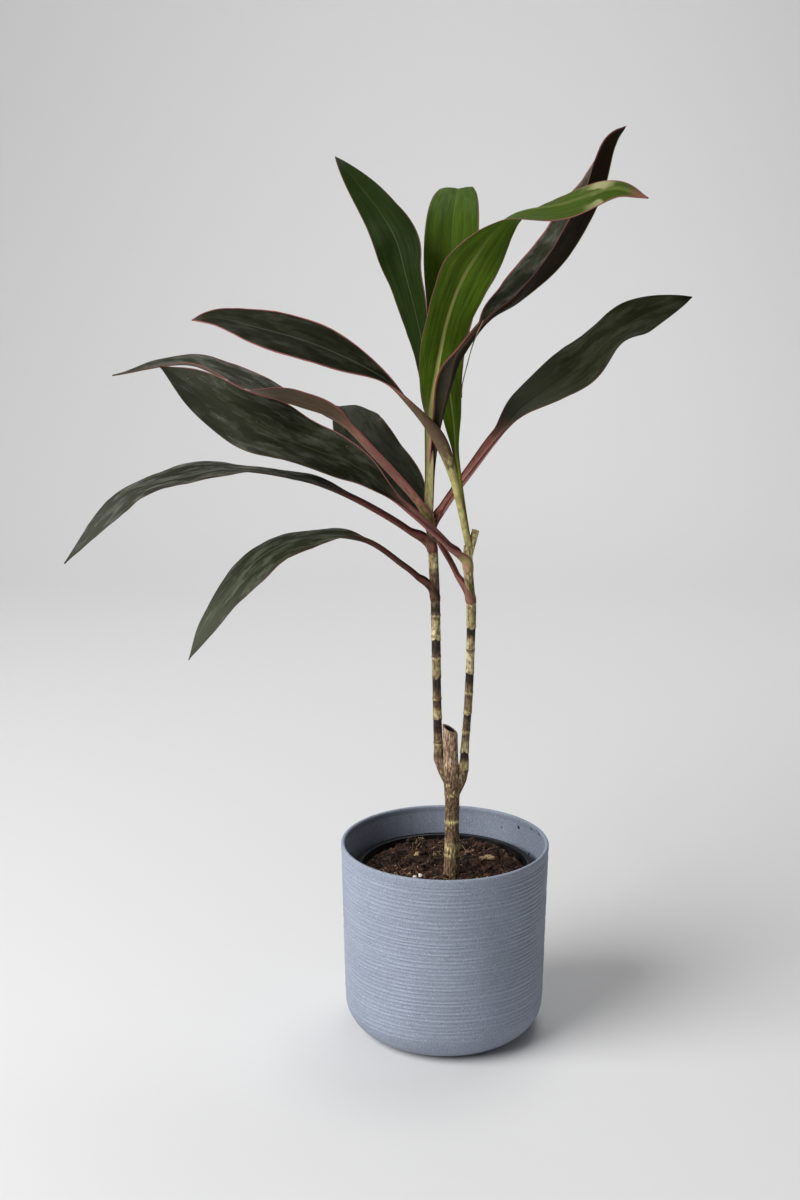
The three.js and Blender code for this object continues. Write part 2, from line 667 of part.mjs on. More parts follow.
// The stem grown by the gap is the space that the soil and the leaves keep free for it.
const stemSpace = trunkSolid(GAP).add(canesSolid(GAP));
group.add(meshOf("cover_pot", coverPot(), FINISH.pot));
group.add(meshOf("nursery_pot", growPot(), FINISH.grow));
group.add(meshOf("soil", soil(stemSpace), FINISH.soil));
group.add(meshOf("stem", stem(), FINISH.stem));
for (const [name, leaf] of Object.entries(LEAVES)) {
  const finish = GREEN_LEAVES.includes(name) ? FINISH.greenLeaf : FINISH.darkLeaf;
  group.add(meshOf(name, leafSolid(leaf, stemSpace), finish));
}

export default group;
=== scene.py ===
"""A potted cordyline: the looks, modelled around its packed frame.

Lengths in the tables are millimetres in the row frame: +Z is up, -Y is the front and the origin is
the middle of the cover pot's foot. Meshes are made in metres.
"""

import functools
import math
import random

import bpy
import numpy as np
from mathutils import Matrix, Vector, noise


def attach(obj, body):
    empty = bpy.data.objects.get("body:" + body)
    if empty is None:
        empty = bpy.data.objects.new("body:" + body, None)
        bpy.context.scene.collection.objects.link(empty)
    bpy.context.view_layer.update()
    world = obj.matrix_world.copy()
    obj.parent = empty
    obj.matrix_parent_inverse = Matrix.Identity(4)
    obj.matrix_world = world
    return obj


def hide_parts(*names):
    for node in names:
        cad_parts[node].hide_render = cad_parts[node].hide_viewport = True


bl_info = {
    "name": "Potted cordyline",
    "version": (1, 0, 0),
    "blender": (4, 5, 0),
    "location": "3D View > Sidebar > Cordyline",
    "description": "Models a cordyline with two canes in a ridged cover pot",
    "category": "Add Mesh",
}

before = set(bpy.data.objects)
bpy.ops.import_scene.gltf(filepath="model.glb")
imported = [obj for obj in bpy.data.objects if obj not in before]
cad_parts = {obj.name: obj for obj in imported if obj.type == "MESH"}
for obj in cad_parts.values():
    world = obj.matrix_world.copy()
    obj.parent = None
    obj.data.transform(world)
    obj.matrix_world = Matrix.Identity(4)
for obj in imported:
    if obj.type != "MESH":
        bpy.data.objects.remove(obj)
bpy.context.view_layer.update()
MM = 0.001
BODY = "root"

# Heights and radii that the pieces share.
POT_FOOT_ROUND = 24.0
POT_FLOOR = 4.0
RIM_CLEAR = 3.5
GROW_FOOT_RADIUS = 44.0
GROW_RIM_FLANGE = 3.5
GROW_WALL = 1.2
SEAT_GAP = 0.3
SOIL_EDGE_DROP = 2.0
STEM_X, STEM_Y = 4.6, -12.0

# Bits that lie where the eye finds them first: [x, y, size].
LARGE_CHIPS = [
    (31, 13, 2.6), (34, 11, 2.2), (28, 10, 1.8), (17, 20, 1.6), (-20, 22, 1.8), (42, -14, 1.5),
]
PERLITE = [(-26, -19, 0.8), (-22, -21, 1.4), (-18, -19, 1.2), (-23.5, -23, 0.8), (12, -27, 0.6)]

# Heaps in the peat: [x, y, height, radius].
MOUNDS = [(-37, 24, 5.0, 5), (-14, 28, 2.0, 8), (22, 22, 2.6, 9), (33, 12, 2.2, 8),
          (0, -25, 1.5, 12), (-22, 44, 3.5, 11), (6, 48, 3.5, 12), (33, 38, 3.5, 11), (48, 16, 2.5, 9)]

# The canes: [x, y, z, radius] along their middle lines.
TRUNK = [
    (4, -12, 78, 4.6), (4.2, -12, 104, 5.6), (4.3, -12, 118, 5.6), (4.8, -12, 143, 5.2),
    (4.7, -12, 161, 5), (4.6, -12, 180, 5.2), (4.2, -12, 194, 5.9), (3.6, -12, 205, 5.4),
    (2.8, -12, 229, 5.2), (2.4, -12, 238, 5.2),
]
# The trunk's cut end: its height at the middle, how it falls to the right and rises to the back, and
# how ragged it is. A block of this radius and top is taken off. Then the hollow in the stub, as
# [x, y, z, radius] at its foot and top.
STUB_X, STUB_Y = 2.8, -12.0
CUT_HEIGHT, CUT_FALL, CUT_LEAN, CUT_RAGGED = 229.3, 0.62, 0.15, 0.5
CUT_RADIUS, CUT_TOP = 14.0, 260.0
HOLLOW_FOOT = (3.4, -12, 220.5, 1.6)
HOLLOW_TOP = (2.2, -12, 238, 4.4)
LEFT_CANE = [
    (2.4, -11, 188, 3.2), (-1.6, -10.4, 197, 3.6), (-4.8, -10, 207, 3.6), (-5.2, -10, 214, 3.2),
    (-6, -10, 236, 3.1), (-6.5, -10, 257, 3), (-7.3, -10, 294, 3.2), (-7.9, -10, 322, 3.3),
    (-8.8, -10, 340, 3.4), (-9.6, -10, 354, 3.4), (-11, -10, 369, 3.2), (-12.3, -10, 383, 2.9),
]
RIGHT_CANE = [
    (6.4, -12, 180, 3.4), (10.6, -12, 192, 4.2), (12.9, -12, 203, 3.4), (13.3, -12, 214, 2.9),
    (15, -12, 240, 2.8), (15.9, -12, 258, 2.9), (16.7, -12, 287, 2.9), (16.9, -12, 318, 3.4),
    (15.4, -12, 334, 3.3), (14.3, -12, 350, 3.3), (14.5, -12, 361, 3.1),
]

# Where old leaves sat: below each edge the cane is dark, above it pale. A raised ring lies between.
LEFT_EDGES = (204.4, 236.4, 266.2, 294.0, 322.0)
LEFT_RINGS = (219.0, 251.3, 281.4, 311.5)
RIGHT_EDGES = (198.4, 212.5, 240.5, 270.3, 302.9)
RIGHT_RINGS = (228.4, 256.2, 287.7)
TRUNK_RINGS = (136.0, 147.0, 161.3, 171.0, 181.0)

# Tones of the canes and the trunk, as linear colours.
DARK_BARK = (0.036, 0.022, 0.014)
BROWN_BARK = (0.150, 0.098, 0.060)
OLIVE_BARK = (0.250, 0.190, 0.095)
CREAM_BARK = (0.430, 0.360, 0.185)
PALE_BARK = (0.620, 0.545, 0.330)
GREEN_BARK = (0.150, 0.210, 0.040)
TRUNK_BARK = (0.170, 0.118, 0.072)
PINK_BARK = (0.380, 0.270, 0.200)

# The tones up each cane: [height, tone]. Under an old leaf's edge it is dark, and above one pale.
LEFT_BANDS = [
    (205, TRUNK_BARK), (209, BROWN_BARK), (214, OLIVE_BARK), (218.6, CREAM_BARK), (219.1, DARK_BARK),
    (219.8, OLIVE_BARK), (226, BROWN_BARK), (230, DARK_BARK), (236.3, DARK_BARK), (236.6, PALE_BARK),
    (243, CREAM_BARK), (246, BROWN_BARK), (250, DARK_BARK), (250.8, CREAM_BARK), (252, OLIVE_BARK),
    (257, BROWN_BARK), (260, DARK_BARK), (266.2, DARK_BARK), (266.5, OLIVE_BARK), (273, CREAM_BARK),
    (279, OLIVE_BARK), (281, PALE_BARK), (282.4, BROWN_BARK), (288, DARK_BARK), (293.8, DARK_BARK),
    (294.1, PALE_BARK), (302, PALE_BARK), (307, CREAM_BARK), (310, OLIVE_BARK), (311.4, PALE_BARK),
    (312.3, BROWN_BARK), (315, DARK_BARK), (321, BROWN_BARK), (341, BROWN_BARK), (344.5, OLIVE_BARK),
    (345.5, CREAM_BARK), (353.5, CREAM_BARK), (356, OLIVE_BARK), (359, BROWN_BARK),
    (372, BROWN_BARK), (376, OLIVE_BARK), (380, CREAM_BARK),
]
RIGHT_BANDS = [
    (199, BROWN_BARK), (200, CREAM_BARK), (205, CREAM_BARK), (207, BROWN_BARK), (208.5, DARK_BARK),
    (212.4, DARK_BARK), (212.8, PALE_BARK), (218, CREAM_BARK), (225, BROWN_BARK), (228, CREAM_BARK),
    (229.5, BROWN_BARK), (236, BROWN_BARK), (238.5, DARK_BARK), (240.4, DARK_BARK), (240.8, CREAM_BARK),
    (248, OLIVE_BARK), (254, BROWN_BARK), (256, PALE_BARK), (257.3, OLIVE_BARK), (262, BROWN_BARK),
    (265, DARK_BARK), (270.1, DARK_BARK), (270.5, PALE_BARK), (285, PALE_BARK), (287.2, BROWN_BARK),
    (288, PALE_BARK), (294, CREAM_BARK), (297, BROWN_BARK), (299, DARK_BARK), (302.8, DARK_BARK),
    (303.2, PALE_BARK), (309, CREAM_BARK), (318, CREAM_BARK), (322, PALE_BARK), (326, OLIVE_BARK),
    (337, OLIVE_BARK), (343, CREAM_BARK), (346, PALE_BARK), (353, PALE_BARK), (356, CREAM_BARK),
    (361, CREAM_BARK),
]


# Lines and frames

def ease(low, high, value):
    """0 below low, 1 above high, and smooth between."""
    share = np.clip((value - low) / (high - low), 0, 1)
    return share * share * (3 - 2 * share)


def mix(a, b, share):
    return a + (b - a) * share


def hump(value, middle, spread):
    """1 at the middle, and less and less away from it."""
    return np.exp(-(((value - middle) / spread) ** 2))


def unit(rows):
    return rows / np.linalg.norm(rows, axis=-1, keepdims=True)


def curve_through(points, places, even=False):
    """A smooth curve through points, read at places from 0 to 1. Even spaces its knots evenly."""
    points = np.asarray(points, float)
    knots = np.vstack([2 * points[0] - points[1], points, 2 * points[-1] - points[-2]])
    last = len(points) - 2
    spot = np.clip(np.asarray(places, float), 0, 1) * (last + 1)
    start = np.minimum(np.floor(spot).astype(int), last)
    w = (spot - start)[:, None]
    p0, p1, p2, p3 = (knots[start + i] for i in range(4))
    if even:
        m1, m2 = (p2 - p0) / 2, (p3 - p1) / 2
    else:
        d0, d1, d2 = (
            np.sqrt(np.linalg.norm(a - b, axis=1))[:, None]
            for a, b in ((p0, p1), (p1, p2), (p2, p3))
        )
        m1 = ((p1 - p0) / d0 - (p2 - p0) / (d0 + d1) + (p2 - p1) / d1) * d1
        m2 = ((p2 - p1) / d1 - (p3 - p1) / (d1 + d2) + (p3 - p2) / d2) * d1
    cubic = 2 * p1 - 2 * p2 + m1 + m2
    square = -3 * p1 + 3 * p2 - 2 * m1 - m2
    return ((cubic * w + square) * w + m1) * w + p1


class Cane:
    """A cane's middle line and radius, read by height."""

    def __init__(self, stations):
        self.line = curve_through(stations, np.linspace(0, 1, 800))
        self.low, self.high = stations[0][2], stations[-1][2]

    def at(self, height):
        """The middle's x and y and the radius at a height."""
        heights = self.line[:, 2]
        return [np.interp(height, heights, self.line[:, i]) for i in (0, 1, 3)]


CANES = {"trunk": Cane(TRUNK), "left": Cane(LEFT_CANE), "right": Cane(RIGHT_CANE)}


# Meshes

WELD = 1e-6
MOST_CUTS = 100


def clear_selection():
    if bpy.context.object and bpy.context.object.mode != "OBJECT":
        bpy.ops.object.mode_set(mode="OBJECT")
    bpy.ops.object.select_all(action="DESELECT")


def pick(obj):
    clear_selection()
    obj.select_set(True)
    bpy.context.view_layer.objects.active = obj


def named(name):
    """Names the object that an operator has just added."""
    obj = bpy.context.active_object
    obj.name = obj.data.name = name
    return obj


def edit_all():
    """Puts the active object in edit mode, with all of it selected."""
    bpy.ops.object.mode_set(mode="EDIT")
    bpy.ops.mesh.select_all(action="SELECT")


def face_outwards():
    """Turns all faces of the object in edit mode outwards, and goes back to object mode."""
    bpy.ops.mesh.select_all(action="SELECT")
    bpy.ops.mesh.normals_make_consistent(inside=False)
    bpy.ops.object.mode_set(mode="OBJECT")


def coordinates(obj):
    flat = np.zeros(len(obj.data.vertices) * 3)
    obj.data.vertices.foreach_get("co", flat)
    return flat.reshape(-1, 3)


def move_points(obj, points):
    """Puts an object's vertices at points, in millimetres."""
    obj.data.vertices.foreach_set("co", (np.asarray(points) * MM).ravel())
    obj.data.update()


def write_attribute(obj, name, values, kind="FLOAT"):
    field = {"FLOAT": "value", "FLOAT_VECTOR": "vector", "FLOAT_COLOR": "color"}[kind]
    layer = obj.data.attributes.new(name, kind, "POINT")
    layer.data.foreach_set(field, np.asarray(values, np.float32).ravel())


def grid(name, across, along):
    """A flat sheet of quads whose x runs from -1 to 1 and whose y runs from 0 to 1."""
    clear_selection()
    bpy.ops.mesh.primitive_grid_add(x_subdivisions=across, y_subdivisions=along, size=2)
    obj = named(name)
    edit_all()
    bpy.ops.transform.resize(value=(1, 0.5, 1))
    bpy.ops.transform.translate(value=(0, 0.5, 0))
    bpy.ops.object.mode_set(mode="OBJECT")
    return obj


def block(name, across, along):
    """A grid with a second sheet one unit below it, closed all round."""
    obj = grid(name, across, along)
    edit_all()
    bpy.ops.mesh.extrude_region_move(TRANSFORM_OT_translate={"value": (0, 0, -1)})
    face_outwards()
    return obj


def rolled_tube(name, sides, rows, place):
    """A closed tube: place gives the points, in millimetres, for arrays of angle and of share."""
    obj = grid(name, sides, rows)
    flat = coordinates(obj)
    move_points(obj, place((flat[:, 0] + 1) * math.pi, flat[:, 1]))
    edit_all()
    bpy.ops.mesh.remove_doubles(threshold=WELD)
    bpy.ops.mesh.fill_holes(sides=0)
    face_outwards()
    return obj


def turned(name, profile, steps):
    """A turned shape: the profile is a list of (radius, height) that starts and ends at the axis."""
    clear_selection()
    bpy.ops.mesh.primitive_plane_add(size=1)
    obj = named(name)
    bpy.ops.object.mode_set(mode="EDIT")
    bpy.ops.mesh.delete(type="ONLY_FACE")
    bpy.ops.mesh.select_all(action="DESELECT")
    bpy.ops.object.mode_set(mode="OBJECT")
    for vertex in obj.data.vertices[2:]:
        vertex.select = True
    bpy.ops.object.mode_set(mode="EDIT")
    bpy.ops.mesh.delete(type="VERT")
    cuts = len(profile) - 2
    while cuts > 0:
        step = min(cuts, MOST_CUTS)
        bpy.ops.mesh.select_all(action="DESELECT")
        bpy.ops.object.mode_set(mode="OBJECT")
        obj.data.edges[0].select = True
        for index in obj.data.edges[0].vertices:
            obj.data.vertices[index].select = True
        bpy.ops.object.mode_set(mode="EDIT")
        bpy.ops.mesh.subdivide(number_cuts=step)
        cuts -= step
    bpy.ops.object.mode_set(mode="OBJECT")
    move_points(obj, chain_order(obj, profile))
    edit_all()
    bpy.ops.mesh.spin(steps=steps, angle=2 * math.pi, center=(0, 0, 0), axis=(0, 0, 1))
    bpy.ops.mesh.select_all(action="SELECT")
    bpy.ops.mesh.remove_doubles(threshold=WELD)
    face_outwards()
    return obj


def chain_order(obj, profile):
    """The profile's points as rows for a chain of edges, from one of its ends to the other."""
    neighbours = {vertex.index: [] for vertex in obj.data.vertices}
    for edge in obj.data.edges:
        a, b = edge.vertices
        neighbours[a].append(b)
        neighbours[b].append(a)
    here = next(index for index, near in neighbours.items() if len(near) == 1)
    before = None
    points = np.zeros((len(profile), 3))
    for radius, height in profile:
        points[here] = (radius, 0, height)
        following = [index for index in neighbours[here] if index != before]
        before, here = here, following[0] if following else here
    return points


def smooth(obj, degrees):
    """Smooth shading, apart from edges sharper than an angle."""
    pick(obj)
    bpy.ops.object.shade_smooth_by_angle(angle=math.radians(degrees))


def unite(obj, other, operation="UNION"):
    """Joins another closed mesh to obj, or cuts it out, and removes it."""
    pick(obj)
    modifier = obj.modifiers.new("Unite", "BOOLEAN")
    modifier.object = other
    modifier.operation = operation
    modifier.solver = "MANIFOLD"
    bpy.ops.object.modifier_apply(modifier=modifier.name)
    bpy.data.objects.remove(other)


def joined(name, parts):
    """One object out of several."""
    pick(parts[0])
    for part in parts[1:]:
        part.select_set(True)
    bpy.ops.object.join()
    return named(name)


def dress(obj, material, slot, *nodes):
    """Gives a finished piece its material and its body, and hides the CAD nodes that it stands for."""
    obj.data.materials.clear()
    obj.data.materials.append(material)
    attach(obj, BODY)
    if nodes:
        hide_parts(*nodes)


# Materials

def scaled(colour, factor):
    return tuple(c * factor for c in colour)


def shade(tree, kind, settings=None, inputs=None):
    """A node with its settings, and its inputs by name or number: each a value or a socket."""
    node = tree.nodes.new(kind)
    for key, value in (settings or {}).items():
        setattr(node, key, value)
    for key, value in (inputs or {}).items():
        socket = node.inputs[key]
        if isinstance(value, bpy.types.NodeSocket):
            tree.links.new(value, socket)
        elif socket.type == "RGBA":
            socket.default_value = (*value, 1) if len(value) == 3 else value
        else:
            socket.default_value = value
    return node


def attribute(tree, name, output="Fac"):
    """What the mesh stores under a name."""
    return shade(tree, "ShaderNodeAttribute", {"attribute_name": name}).outputs[output]


def split(tree, vector):
    """The three numbers of a vector."""
    return shade(tree, "ShaderNodeSeparateXYZ", None, {0: vector}).outputs


def stretched(tree, vector, scale):
    return shade(tree, "ShaderNodeMapping", None, {"Vector": vector, "Scale": scale}).outputs[0]


def object_place(tree, scale=(1, 1, 1)):
    """Object coordinates, stretched by scale."""
    return stretched(tree, shade(tree, "ShaderNodeTexCoord").outputs["Object"], scale)


def sums(tree, operation, a, b=0.0):
    return shade(tree, "ShaderNodeMath", {"operation": operation}, {0: a, 1: b}).outputs[0]


def product(tree, a, b):
    return sums(tree, "MULTIPLY", a, b)


def between(tree, value, low, high, to_low=0.0, to_high=1.0):
    """Maps value smoothly from the range low to high onto the range to_low to to_high."""
    inputs = {0: value, 1: low, 2: high, 3: to_low, 4: to_high}
    return shade(tree, "ShaderNodeMapRange", {"interpolation_type": "SMOOTHSTEP"}, inputs).outputs[0]


def mixed(tree, share, a, b):
    """The number between a and b."""
    return shade(tree, "ShaderNodeMix", None, {0: share, 2: a, 3: b}).outputs[0]


def blended(tree, share, a, b, mode="MIX"):
    """The colour between a and b."""
    settings = {"data_type": "RGBA", "blend_type": mode}
    return shade(tree, "ShaderNodeMix", settings, {0: share, 6: a, 7: b}).outputs[2]


def tinted(tree, colour, tint, mask, strength):
    """The colour, turned towards a tint where the mask is high."""
    return blended(tree, product(tree, mask, strength), colour, tint)


def noise_value(tree, vector, scale, detail=2.0, roughness=0.5):
    inputs = {"Vector": vector, "Scale": scale, "Detail": detail, "Roughness": roughness}
    return shade(tree, "ShaderNodeTexNoise", None, inputs).outputs[0]


def new_material(name):
    """An empty material with its shader node."""
    material = bpy.data.materials.new(name)
    material.use_nodes = True
    tree = material.node_tree
    tree.nodes.clear()
    shader = tree.nodes.new("ShaderNodeBsdfPrincipled")
    output = tree.nodes.new("ShaderNodeOutputMaterial")
    tree.links.new(shader.outputs[0], output.inputs[0])
    return material, tree, shader


def finish_material(tree, shader, colour, roughness, specular, height=None, depth=0.0):
    """Links the colour, roughness and relief, and sets how strongly the surface mirrors."""
    for value, socket in ((colour, "Base Color"), (roughness, "Roughness")):
        if isinstance(value, bpy.types.NodeSocket):
            tree.links.new(value, shader.inputs[socket])
        else:
            shader.inputs[socket].default_value = (*value, 1) if socket == "Base Color" else value
    if height is not None:
        bump = shade(tree, "ShaderNodeBump", None, {"Height": height, "Distance": depth * MM})
        tree.links.new(bump.outputs[0], shader.inputs["Normal"])
    shader.inputs["Specular IOR Level"].default_value = specular


def new_group(name, inputs, outputs):
    """An empty node group. Its first input is a vector and all other sockets are numbers."""
    group = bpy.data.node_groups.new(name, "ShaderNodeTree")
    kinds = ["NodeSocketVector"] + ["NodeSocketFloat"] * (len(inputs) - 1)
    for title, kind in zip(inputs, kinds):
        group.interface.new_socket(title, in_out="INPUT", socket_type=kind)
    for title in outputs:
        group.interface.new_socket(title, in_out="OUTPUT", socket_type="NodeSocketFloat")
    given, made = group.nodes.new("NodeGroupInput"), group.nodes.new("NodeGroupOutput")
    return group, [given.outputs[title] for title in inputs], made.inputs


def flecks_group():
    """Node group: small flecks where a fine noise is high."""
    group = bpy.data.node_groups.get("Flecks")
    if group:
        return group
    inputs = ("Vector", "Scale", "Threshold", "Softness")
    group, (vector, scale, threshold, softness), made = new_group("Flecks", inputs, ("Mask",))
    value = noise_value(group, vector, scale, 1.0, 0.4)
    top = sums(group, "ADD", threshold, softness)
    group.links.new(between(group, value, threshold, top), made[0])
    return group


def flecks(tree, vector, scale, threshold, softness):
    """A mask of small flecks, from the group."""
    inputs = {"Vector": vector, "Scale": scale, "Threshold": threshold, "Softness": softness}
    return shade(tree, "ShaderNodeGroup", {"node_tree": flecks_group()}, inputs).outputs[0]


def streaks_group():
    """Node group: long fibres, the coarse ones and the fine ones as two values."""
    group = bpy.data.node_groups.get("Streaks")
    if group:
        return group
    inputs = ("Vector", "Coarse", "Fine")
    group, (vector, coarse, fine), made = new_group("Streaks", inputs, ("Wide", "Narrow"))
    for index, (scale, detail) in enumerate(((coarse, 2.0), (fine, 3.0))):
        value = noise_value(group, vector, scale, detail, 0.55)
        group.links.new(between(group, value, 0.3, 0.7), made[index])
    return group


def streaks(tree, vector, coarse, fine):
    """Wide and narrow streaks, from the group."""
    inputs = {"Vector": vector, "Coarse": coarse, "Fine": fine}
    node = shade(tree, "ShaderNodeGroup", {"node_tree": streaks_group()}, inputs)
    return node.outputs[0], node.outputs[1]


# Finishes of the small bits: their dark and light tone, the scale of the pattern and the roughness.
TONES = {
    "Peat crumb": ((0.004, 0.002, 0.0014), (0.075, 0.030, 0.015), 90, 0.85),
    "Bark chip": ((0.10, 0.055, 0.03), (0.42, 0.30, 0.16), 70, 0.75),
    "Perlite": ((0.62, 0.60, 0.55), (0.85, 0.84, 0.80), 200, 0.9),
    "Root fibre": ((0.13, 0.06, 0.035), (0.38, 0.25, 0.13), 80, 0.7),
    "Loose fibre": ((0.14, 0.09, 0.05), (0.40, 0.29, 0.16), 60, 0.7),
}


def tone_material(name):
    """A mottled finish between two tones, for the small bits."""
    dark, light, scale, roughness = TONES[name]
    material, tree, shader = new_material(name)
    place = object_place(tree)
    broad = between(tree, noise_value(tree, place, scale, 3, 0.6), 0.35, 0.65)
    colour = blended(tree, broad, dark, light)
    relief = noise_value(tree, place, scale * 3, 3, 0.6)
    finish_material(tree, shader, colour, roughness, specular=0.3, height=relief, depth=0.25)
    return material


# Cover pot

# Its section: how far the middle of its foot is hollowed, and how high the rows of its wall are.
FOOT_HOLLOW = 0.6
WALL_ROW = 0.45
INNER_ROWS = 24
POT_SIDES = 240

# Where its ridges start and are whole, and how near the rim they fade.
RIDGES_FROM, RIDGES_WHOLE = 9, 13
RIDGE_FADE = 3
# Dark spots lie on the inside of its wall, above this height.
SPOTS_FROM = 60

PALE_SPECKLE = (0.56, 0.61, 0.71)
DARK_SPECKLE = (0.11, 0.135, 0.20)
SPOT = (0.03, 0.03, 0.04)


class CoverPotSizes(bpy.types.PropertyGroup):
    """Sizes and colours of the cover pot."""

    height: bpy.props.FloatProperty(name="Height", description="Height in mm", default=141.5)
    rim_radius: bpy.props.FloatProperty(name="Rim", description="Rim radius in mm", default=75.0)
    foot_radius: bpy.props.FloatProperty(
        name="Foot", description="Radius above the round foot, in mm", default=72.5
    )
    wall: bpy.props.FloatProperty(name="Wall", description="Wall thickness in mm", default=2.8)
    ring_pitch: bpy.props.FloatProperty(
        name="Ring pitch", description="Mean height of a ring in mm", default=3.0
    )
    ring_depth: bpy.props.FloatProperty(
        name="Ring depth", description="Depth of the grooves in mm", default=0.5
    )
    glaze: bpy.props.FloatVectorProperty(
        name="Colour", description="Colour of the pot", subtype="COLOR", default=(0.258, 0.292, 0.362)
    )


def arc(centre, radius, start, end, steps):
    """Points of an arc about (radius, height), from one angle in degrees to another."""
    angles = np.radians(np.linspace(start, end, steps + 1))
    return [(centre[0] + radius * math.cos(a), centre[1] + radius * math.sin(a)) for a in angles]


def wall_radius(sizes, height):
    """Outer radius of the cover pot's wall at a height above its round foot."""
    share = (height - POT_FOOT_ROUND) / (sizes.height - POT_FOOT_ROUND)
    return mix(sizes.foot_radius, sizes.rim_radius, share)


def pot_profile(sizes):
    """The cover pot's section: under the foot, up the outside, over the rim and down the inside."""
    foot = sizes.foot_radius - POT_FOOT_ROUND
    profile = [(0, FOOT_HOLLOW), (foot * 0.6, FOOT_HOLLOW), (foot - 6, 0.5), (foot - 3, 0)]
    profile += arc((foot, POT_FOOT_ROUND), POT_FOOT_ROUND, -90, 0, 46)
    lip = sizes.wall / 2
    top = sizes.height - lip
    rows = np.arange(POT_FOOT_ROUND + WALL_ROW, top, WALL_ROW)
    profile += [(wall_radius(sizes, height), height) for height in rows]
    profile += arc((sizes.rim_radius - lip, top), lip, 0, 180, 12)[1:]
    inner = sizes.rim_radius - sizes.wall
    profile += [(inner + 0.05, top - 1.6), (inner + 0.3, top - 2.6), (inner + 0.25, top - 4)]
    inside = POT_FOOT_ROUND - sizes.wall
    base = sizes.foot_radius - sizes.wall
    for i in range(1, INNER_ROWS):
        share = i / INNER_ROWS
        profile.append((mix(inner + 0.2, base, share), mix(top - 4, POT_FLOOR + inside, share)))
    profile += arc((foot, POT_FLOOR + inside), inside, 0, -90, 14)
    profile.append((0, POT_FLOOR))
    return profile


def ridge_share(sizes, x, y, z):
    """How fully the ridges show at a point: 1 on most of the outside, 0 where there are none."""
    reach = math.hypot(x, y)
    foot = sizes.foot_radius - POT_FOOT_ROUND
    top = sizes.height - RIM_CLEAR
    if reach <= foot + 4 or not RIDGES_FROM < z < top:
        return 0
    if z > POT_FOOT_ROUND:
        depth = wall_radius(sizes, z) - reach
    else:
        depth = POT_FOOT_ROUND - math.hypot(reach - foot, z - POT_FOOT_ROUND)
    if depth > 1:
        return 0
    return ease(RIDGES_FROM, RIDGES_WHOLE, z) * (1 - ease(top - RIDGE_FADE, top, z))


def ridge_height(sizes, x, y, z):
    """How proud the wall stands at a point, 0 to 1: thin uneven ridges that wander and fade."""
    around = Vector((x, y, 0)).normalized()
    drift = 1.1 * noise.noise(Vector((around.x * 0.9, around.y * 0.9, z * 0.012)))
    phase = (z + drift) / sizes.ring_pitch
    phase += 0.36 * noise.noise(Vector((3.1, 0.4, phase * 0.8)))
    bead = hump(phase % 1.0, 0.5, 0.2)
    strength = 0.76 + 0.62 * noise.noise(Vector((around.x * 3.4, around.y * 3.4, z / 3.7 + 7)))
    fine = 0.28 * noise.noise(Vector((around.x * 2.6, around.y * 2.6, z * 1.1)))
    return min(max(bead * strength + fine + 0.08, 0), 1)


def pot_material(sizes):
    material, tree, shader = new_material("Speckled blue-grey pot")
    place = object_place(tree)
    broad = between(tree, noise_value(tree, place, 22, 3), 0.3, 0.7)
    colour = blended(tree, broad, scaled(sizes.glaze, 0.94), scaled(sizes.glaze, 1.06))
    pale = flecks(tree, place, scale=1500, threshold=0.60, softness=0.12)
    colour = tinted(tree, colour, PALE_SPECKLE, pale, strength=0.68)
    dark = flecks(tree, place, scale=1150, threshold=0.60, softness=0.10)
    colour = tinted(tree, colour, DARK_SPECKLE, dark, strength=0.6)
    # Painted highlight: the ridge crests are tinted paler than the glaze, standing in for the light
    # that they catch.
    crest_highlight = between(tree, attribute(tree, "ridge"), 0.35, 1.0)
    colour = tinted(tree, colour, scaled(sizes.glaze, 1.45), crest_highlight, strength=0.42)
    spots = flecks(tree, place, scale=190, threshold=0.735, softness=0.02)
    colour = tinted(tree, colour, SPOT, spots, attribute(tree, "inner"))
    grain = noise_value(tree, place, 1300, 2, 0.6)
    finish_material(tree, shader, colour, 0.62, specular=0.35, height=grain, depth=0.22)
    return material


class CORDYLINE_OT_cover_pot(bpy.types.Operator):
    """Models the ridged cover pot"""

    bl_idname = "cordyline.cover_pot"
    bl_label = "Cover pot"

    def execute(self, context):
        sizes = context.scene.cordyline_pot
        obj = turned("cover_pot_ridged", pot_profile(sizes), POT_SIDES)
        points = coordinates(obj) / MM
        ridge = np.zeros(len(points))
        for index, point in enumerate(points):
            share = ridge_share(sizes, *point)
            if share > 0:
                ridge[index] = ridge_height(sizes, *point) * share
                groove = sizes.ring_depth * (share - ridge[index])
                point[:2] *= 1 - groove / math.hypot(point[0], point[1])
        move_points(obj, points)
        write_attribute(obj, "ridge", ridge)
        heights = points[:, 2]
        depth = wall_radius(sizes, heights) - np.hypot(points[:, 0], points[:, 1])
        write_attribute(obj, "inner", (depth > sizes.wall * 0.6) & (heights > SPOTS_FROM))
        smooth(obj, degrees=50)
        dress(obj, pot_material(sizes), "pot_blue_grey", "cover_pot")
        return {"FINISHED"}


# Grow pot

# The thickness of its floor, the rows of its wall, and the grooves on top of its rim.
GROW_FLOOR = 1.6
GROW_ROWS = 14
GROW_SIDES = 160
RIM_GROOVES = 3
GROOVE_DEPTH = 0.22
DUST = (0.035, 0.024, 0.017)


class GrowPotSizes(bpy.types.PropertyGroup):
    """Sizes and colour of the thin grow pot."""

    rim_height: bpy.props.FloatProperty(name="Rim height", description="In mm", default=123.0)
    rim_radius: bpy.props.FloatProperty(name="Rim radius", description="In mm", default=65.0)
    plastic: bpy.props.FloatVectorProperty(
        name="Colour", description="Colour of the plastic", subtype="COLOR",
        default=(0.006, 0.006, 0.0075),
    )


